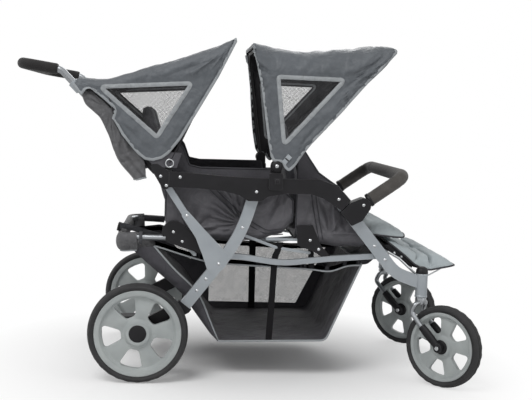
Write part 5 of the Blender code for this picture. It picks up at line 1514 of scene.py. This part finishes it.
strapPlan = {  # points and width of each
    "nearLong": ([(0.432, -0.271, 0.431), (0.424, -0.2745, 0.4), (0.417, -0.275, 0.376),
                  (0.412, -0.2745, 0.25), (0.407, -0.273, 0.122)], 0.02),
    "farLong": ([(0.382, 0.268, 0.43), (0.384, 0.269, 0.365), (0.386, 0.27, 0.24), (0.387, 0.264, 0.118)],
                0.024),
    "nearShort": ([(0.53, -0.2745, 0.412), (0.532, -0.275, 0.38), (0.534, -0.2745, 0.352)], 0.018),
    "farShort": ([(0.262, 0.264, 0.425), (0.262, 0.265, 0.37)], 0.02),
}


def trayPoint(s, t):
    spot = onPath(basketPlan["trayCurve"], t)
    y = (s - 0.5) * 2 * basketPlan["half"]
    across = 1 - (y / basketPlan["half"]) ** 2
    level = max(0, 1 - abs(spot.z - basketPlan["floor"]) / 0.02)
    spot.z -= 0.006 * across * level * math.sin(math.pi * min(1, max(0, (spot.x - 0.25) / 0.34)))
    ripple = 0.006 * slowNoise(spot.x * 16, y * 12, spot.z * 16)
    ripple += 0.002 * slowNoise(spot.x * 50, y * 30, spot.z * 50)
    ripple *= 1 - (y / basketPlan["half"]) ** 8
    spot.x += ripple * (1 - level)
    spot.z += ripple * level * 0.7
    spot.y = y
    return spot


def returnPoint(s, t):
    # the rear wall comes round on to the near side as far as the bound opening
    fold = onPath(basketPlan["trayCurve"], t * basketPlan["foldShare"])
    rim = onPath(basketPlan["rimCurve"], t)
    spot = fold.lerp(rim, s)
    middle = math.sin(math.pi * s)
    puff = 0.007 * middle + 0.0035 * slowNoise(spot.x * 30, spot.z * 30, 4) * middle
    spot.y = -basketPlan["half"] - puff
    return spot


def wallPoint(s, t):
    x = basketPlan["from"] + (basketPlan["to"] - basketPlan["from"]) * s
    foot = heightAt(basketPlan["tray"], x)
    top = heightAt(basketPlan["top"], x)
    z = foot + max(0.0, top - foot) * t
    belly = 0.01 * math.sin(math.pi * t) * math.sin(math.pi * s)
    ripple = 0.0035 * slowNoise(x * 14, z * 18, 9) * math.sin(math.pi * t)
    return Vector((x, basketPlan["half"] + belly + ripple, z))


def inFarNet(x, z):
    (x0, z0), (x1, z1) = basketPlan["netFront"]
    ahead = (x - x0) * (z1 - z0) - (z - z0) * (x1 - x0)
    main = z > basketPlan["netLow"] and ahead < 0 and x > basketPlan["netRear"]
    small = 0.07 < x < 0.158 and z > 0.425 - 0.86 * x
    return main or small


def flapPoint(s, t):
    y = (s - 0.5) * 2 * (basketPlan["half"] - 0.006)
    (footX, footZ), (reachX, reachZ) = basketPlan["flapFoot"], basketPlan["flapReach"]
    x, z = footX + reachX * t, footZ + reachZ * t
    sag = 0.01 * math.sin(math.pi * t) + 0.004 * slowNoise(x * 30, y * 14, 8) * math.sin(math.pi * t)
    return Vector((x + sag * 0.5, y, z - sag))


def makeBasket():
    basketPlan["trayCurve"] = flatCurve(roundedPath, basketPlan["tray"], 0.025, 5)
    basketPlan["rimCurve"] = flatCurve(curvedPath, basketPlan["opening"], 5)
    tray = basketPlan["trayCurve"]
    runs = [(Vector(b) - Vector(a)).length for a, b in zip(tray, tray[1:])]
    reach = sum(r for r, p in zip(runs, tray[1:]) if p[0] <= basketPlan["foldEnd"])
    basketPlan["foldShare"] = reach / sum(runs)
    floor = makePiece("basketTray", warpedGrid(70, 130, trayPoint, (0.54, 1.15)), basketNylon, "chassis",
                      180)
    addThickness(floor, basketPlan["trayCloth"])
    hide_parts("basket")
    wrap = makePiece("basketSideReturn", warpedGrid(14, 60, returnPoint, (0.09, 0.42)), basketNylon,
                     "chassis", 180)
    addThickness(wrap, basketPlan["sideCloth"])
    bm = warpedGrid(190, 56, wallPoint, (0.75, 0.27))
    (x0, z0), (x1, z1) = basketPlan["netFront"]
    cuts = [((x0, 0, z0), (z1 - z0, 0, -(x1 - x0))), ((0, 0, basketPlan["netLow"]), (0, 0, 1)),
            ((basketPlan["netRear"], 0, 0), (1, 0, 0))]
    for point, normal in cuts:
        bmesh.ops.bisect_plane(bm, geom=bm.verts[:] + bm.edges[:] + bm.faces[:], plane_co=point,
                               plane_no=normal, dist=1e-6)
    for face in bm.faces:
        centre = face.calc_center_median()
        face.material_index = 1 if inFarNet(centre.x, centre.z) else 0
    wall = makePiece("basketFarWall", bm, basketNylon, "chassis", 180)
    wall.data.materials.append(basketNet)
    half = basketPlan["half"]
    bound = bmesh.new()
    fold = basketPlan["foldShare"]
    near = [returnPoint(1, k / 60) for k in range(61)]
    near += [trayPoint(0, fold + (1 - fold) * k / 80) for k in range(1, 81)]
    addShape(bound, sweptTube(evenPath(near, 220), 0.0032, 8))
    nearTop = evenPath(curvedPath([(x, -half - 0.001, z - 0.004) for x, z in basketPlan["nearTop"]], 6), 90)
    addShape(bound, sweptTube(nearTop, 0.0028, 8))
    addShape(bound, sweptTube(evenPath([trayPoint(k / 40, 1) for k in range(41)], 60), 0.0035, 8))
    makePiece("basketPiping", bound, pipingTape, "chassis", 180)
    hems = bmesh.new()
    line = evenPath(curvedPath([(x, -half - 0.0005, z + 0.005) for x, z in basketPlan["nearTop"]], 6), 90)
    addShape(hems, flatStrap(line, (0, 0, 1), 0.013, 0.0022))
    line = evenPath([(x, half + 0.0005, z - 0.006) for x, z in basketPlan["top"]], 120)
    addShape(hems, flatStrap(line, (0, 0, 1), 0.018, 0.0022))
    makePiece("basketHems", hems, darkPiping, "chassis", 60)
    straps = bmesh.new()
    for points, wide in strapPlan.values():
        addShape(straps, flatStrap(evenPath(curvedPath(points, 6), 30), (1, 0, 0), wide, 0.0016))
    makePiece("basketStraps", straps, blackWebbing, "chassis", 60)
    flap = makePiece("basketFrontFlap", warpedGrid(60, 14, flapPoint, (0.53, 0.07)), basketNylon, "chassis",
                     180)
    addThickness(flap, basketPlan["sideCloth"])


makeBasket()
print("stage: basket")


# rear bar with its cloth sleeve, ring and grey straps
barPlan = {"y": 0.2799, "z": 0.437, "front": 0.075, "rear": -0.063, "tube": 0.009, "corner": 0.055,
           "sleeveFront": -0.012, "sleeveHalf": 0.0138, "sleeveDrop": 0.0285, "hem": 0.003,
           "strap": (0.015, 0.0026)}


def makeRearBar():
    y, z = barPlan["y"], barPlan["z"]
    corners = [(barPlan["front"], -y, z), (barPlan["rear"], -y, z), (barPlan["rear"], y, z),
               (barPlan["front"], y, z)]
    bar = sweptTube(roundedPath(corners, barPlan["corner"], 10), barPlan["tube"], 18)
    bar = makePiece("basketRearBar", bar, polishedTube, "chassis", 40)
    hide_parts("basket_bar")
    x = barPlan["sleeveFront"]
    corners = [(x, -y, z - 0.012), (barPlan["rear"], -y, z - 0.016), (barPlan["rear"], y, z - 0.016),
               (x, y, z - 0.012)]
    path = evenPath(roundedPath(corners, 0.034, 10), 220)

    def girth(t):
        pucker = 0.002 * slowNoise(t * 45, 0, 6) + 0.0012 * slowNoise(t * 120, 0, 2)
        return barPlan["sleeveHalf"] + pucker

    sleeve = sweptTube(path, girth, 28, squeeze=((0, 0, 1), barPlan["sleeveDrop"]))
    for vert in sleeve.verts:  # the sleeve hangs to a narrow sewn edge under the bar
        drop = max(0.0, (z - 0.01) - vert.co.z)
        share = min(1.0, drop / 0.03)
        if abs(vert.co.y) < y - 0.03:
            vert.co.x = barPlan["rear"] + (vert.co.x - barPlan["rear"]) * (1 - 0.6 * share)
        else:
            vert.co.y = math.copysign(y + (abs(vert.co.y) - y) * (1 - 0.45 * share), vert.co.y)
        vert.co.z += 0.0025 * slowNoise(vert.co.x * 40, vert.co.y * 25, 3) * share
    piece = makePiece("rearBarSleeve", sleeve, drapeNylon, "chassis", 60)
    hem = [Vector((p.x, p.y, p.z - 0.0284)) for p in path]
    makePiece("rearBarHem", sweptTube(hem, barPlan["hem"], 8), pipingTape, "chassis", 180)
    rings = bmesh.new()
    spots = [Vector((x + 0.006 + k * 0.0025, -y, z - 0.002)) for k in range(5)]
    addShape(rings, sweptTube(spots, lambda t: 0.015 - 0.0012 * (2 * t - 1) ** 4, 24,
                              squeeze=((0, 0, 1), 0.02)))
    makePiece("rearBarRings", rings, greyWebbing, "chassis", 40)
    bands = bmesh.new()
    near = [(-0.066, -0.235, 0.466), (-0.055, -0.25, 0.4685), (-0.02, -0.256, 0.461), (0.026, -0.259, 0.449),
            (0.066, -0.262, 0.44)]
    addShape(bands, flatStrap(evenPath(curvedPath(near, 6), 40), (0, 0, 1), *barPlan["strap"]))
    over = [(-0.066, -0.235, 0.466), (-0.071, -0.215, 0.456), (-0.075, -0.2, 0.44)]
    addShape(bands, flatStrap(evenPath(curvedPath(over, 6), 12), (0, 0, 1), *barPlan["strap"]))
    makePiece("rearBarStraps", bands, greyWebbing, "chassis", 60)
    far = [(-0.02, y, z), (0.02, y, z - 0.001), (0.06, y, z - 0.003)]
    cover = sweptTube(evenPath(far, 30), lambda t: 0.012 + 0.0015 * slowNoise(t * 30, 2, 1), 20)
    makePiece("rearBarCover", cover, basketNylon, "chassis", 60)
    corners = [(-0.08, 0.449), (-0.066, 0.446), (-0.062, 0.47), (-0.074, 0.474)]
    buckle = flatCurve(roundedPath, corners, 0.003, 4, True)
    makePiece("rearBarBuckle", flatPlate(buckle, -0.222, -0.192, 0.0015, 2), blackNylon, "chassis",
              30)


makeRearBar()
print("stage: rear bar")


# calf rest and footrests with their steel supports
footPlan = {
    "foot": [(0.781, 0.436), (0.812, 0.413), (0.838, 0.393), (0.865, 0.37), (0.892, 0.356), (0.918, 0.351),
             (0.96, 0.359), (1.0, 0.367)],
    "footThick": [(0.0, 0.012), (0.3, 0.026), (0.48, 0.038), (0.64, 0.044), (0.8, 0.042), (0.92, 0.024),
                  (1.0, 0.008)],
    "calf": [(0.711, 0.463), (0.735, 0.459), (0.765, 0.456), (0.8, 0.453), (0.826, 0.453), (0.843, 0.457)],
    "calfThick": [(0.0, 0.034), (0.25, 0.045), (0.45, 0.044), (0.7, 0.032), (0.9, 0.018), (1.0, 0.008)],
    "half": 0.2535, "gap": 0.008, "channels": (0.44, 0.68), "piping": 0.003,
    "bracket": [(0.77, 0.424), (0.79, 0.432), (0.846, 0.397), (0.874, 0.368), (0.905, 0.356), (0.902, 0.35),
                (0.866, 0.358), (0.836, 0.38), (0.79, 0.408)],
    "board": [(0.772, 0.427), (0.79, 0.429), (0.822, 0.403), (0.846, 0.38), (0.868, 0.362), (0.864, 0.353),
              (0.836, 0.374), (0.806, 0.396), (0.772, 0.412)],
    "bracketReach": (0.02, 0.236), "boardReach": (0.034, 0.234), "rivets": ((0.803, 0.402), (0.826, 0.391)),
}


def quiltedPad(name, line, thickness, yFrom, yTo, channels, rounding, replaced):
    # the sewn rim lies on the side-view line and the filling stands up from it between the channels
    curve = flatCurve(curvedPath, line, 8)
    bm = bmesh.new()
    bmesh.ops.create_cube(bm, size=2)
    bmesh.ops.subdivide_edges(bm, edges=bm.edges[:], cuts=40, use_grid_fill=True)
    middle, wide = (yFrom + yTo) / 2, abs(yTo - yFrom)

    def place(a, b, c):
        t = (b + 1) / 2
        here = onPath(curve, t)
        run = (onPath(curve, min(1, t + 0.03)) - onPath(curve, max(0, t - 0.03))).normalized()
        normal = Vector((-run.z, 0, run.x))
        edge = math.sqrt(max(0, 1 - max(0, (abs(a) - 0.72) / 0.28) ** 2))
        edge *= math.sqrt(max(0, 1 - max(0, (abs(b) - 0.8) / 0.2) ** 2))
        dip = sum(math.exp(-((t - spot) / 0.022) ** 2) for spot in channels)
        thick = heightAt(thickness, t)
        body = 0.5 * (c + 1) * thick * (0.16 + 0.84 * edge) * (1 - 0.68 * dip) - 0.002 * (1 - c) * edge
        body += 0.0015 * slowNoise(here.x * 50, a * 6, c) * edge
        corner = 1 - (rounding if b > 0 else 0.04) * max(0, (abs(b) - 0.6) / 0.4) ** 3
        spot = here + normal * body
        spot.y = middle + a * wide / 2 * (1 - 0.012 * (1 - b * b)) * corner
        return spot

    for vert in bm.verts:
        vert.co = place(*vert.co)
    bmesh.ops.recalc_face_normals(bm, faces=bm.faces)
    pad = makePiece(name, bm, footPadCloth, "chassis", 180)
    softenPad(pad)
    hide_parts(replaced)
    rim = []
    for a, b in [(-1, k / 20 - 1) for k in range(40)] + [(k / 20 - 1, 1) for k in range(40)] \
            + [(1, 1 - k / 20) for k in range(40)] + [(1 - k / 20, -1) for k in range(40)]:
        rim.append(place(a, b, -0.8))
    makePiece(name + "Piping", sweptTube(evenPath(rim, 170, True), footPlan["piping"], 8, True), darkPiping,
              "chassis", 180)


quiltedPad("calfPad", footPlan["calf"], footPlan["calfThick"], -footPlan["half"], footPlan["half"], (), 0.3,
           "calf_rest")
for side, sign in sides:
    quiltedPad("footPad_" + side, footPlan["foot"], footPlan["footThick"], sign * footPlan["gap"],
               sign * footPlan["half"], footPlan["channels"], 0.09, "footrest_" + side)
    boards = bmesh.new()
    for reach in footPlan["bracketReach"]:
        addShape(boards, flatPlate(footPlan["bracket"], sign * reach, sign * (reach + 0.01), 0.0015, 2))
    makePiece("footBrackets_" + side, boards, blackNylon, "chassis", 30)
    inner, outer = [sign * reach for reach in footPlan["boardReach"]]
    board = flatPlate(footPlan["board"], inner, outer, 0.003, 3)
    makePiece("footBoard_" + side, board, blackNylon, "chassis", 30)
    bolts = bmesh.new()
    for x, z in footPlan["rivets"]:
        addShape(bolts, rivetShape(x, z, sign, 0.246, 0.0042, 0.002))
    makePiece("footRivets_" + side, bolts, plainSteel, "chassis", 40)
    wires = bmesh.new()
    strut = [(0.778, sign * 0.25, 0.407), (0.817, sign * 0.252, 0.386), (0.871, sign * 0.256, 0.338)]
    addShape(wires, sweptTube(evenPath(strut, 16), 0.0042, 12))
    loop = [(0.868, sign * 0.252, 0.34), (0.89, sign * 0.252, 0.331), (0.914, sign * 0.25, 0.333),
            (0.945, sign * 0.246, 0.349), (0.972, sign * 0.236, 0.364), (0.972, sign * 0.03, 0.364),
            (0.945, sign * 0.022, 0.349), (0.905, sign * 0.02, 0.345)]
    addShape(wires, sweptTube(evenPath(roundedPath(loop, 0.012, 4), 110), 0.0024, 8))
    makePiece("footWires_" + side, wires, plainSteel, "chassis", 60)
print("stage: footrests")


low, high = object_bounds()
print("stage: done")
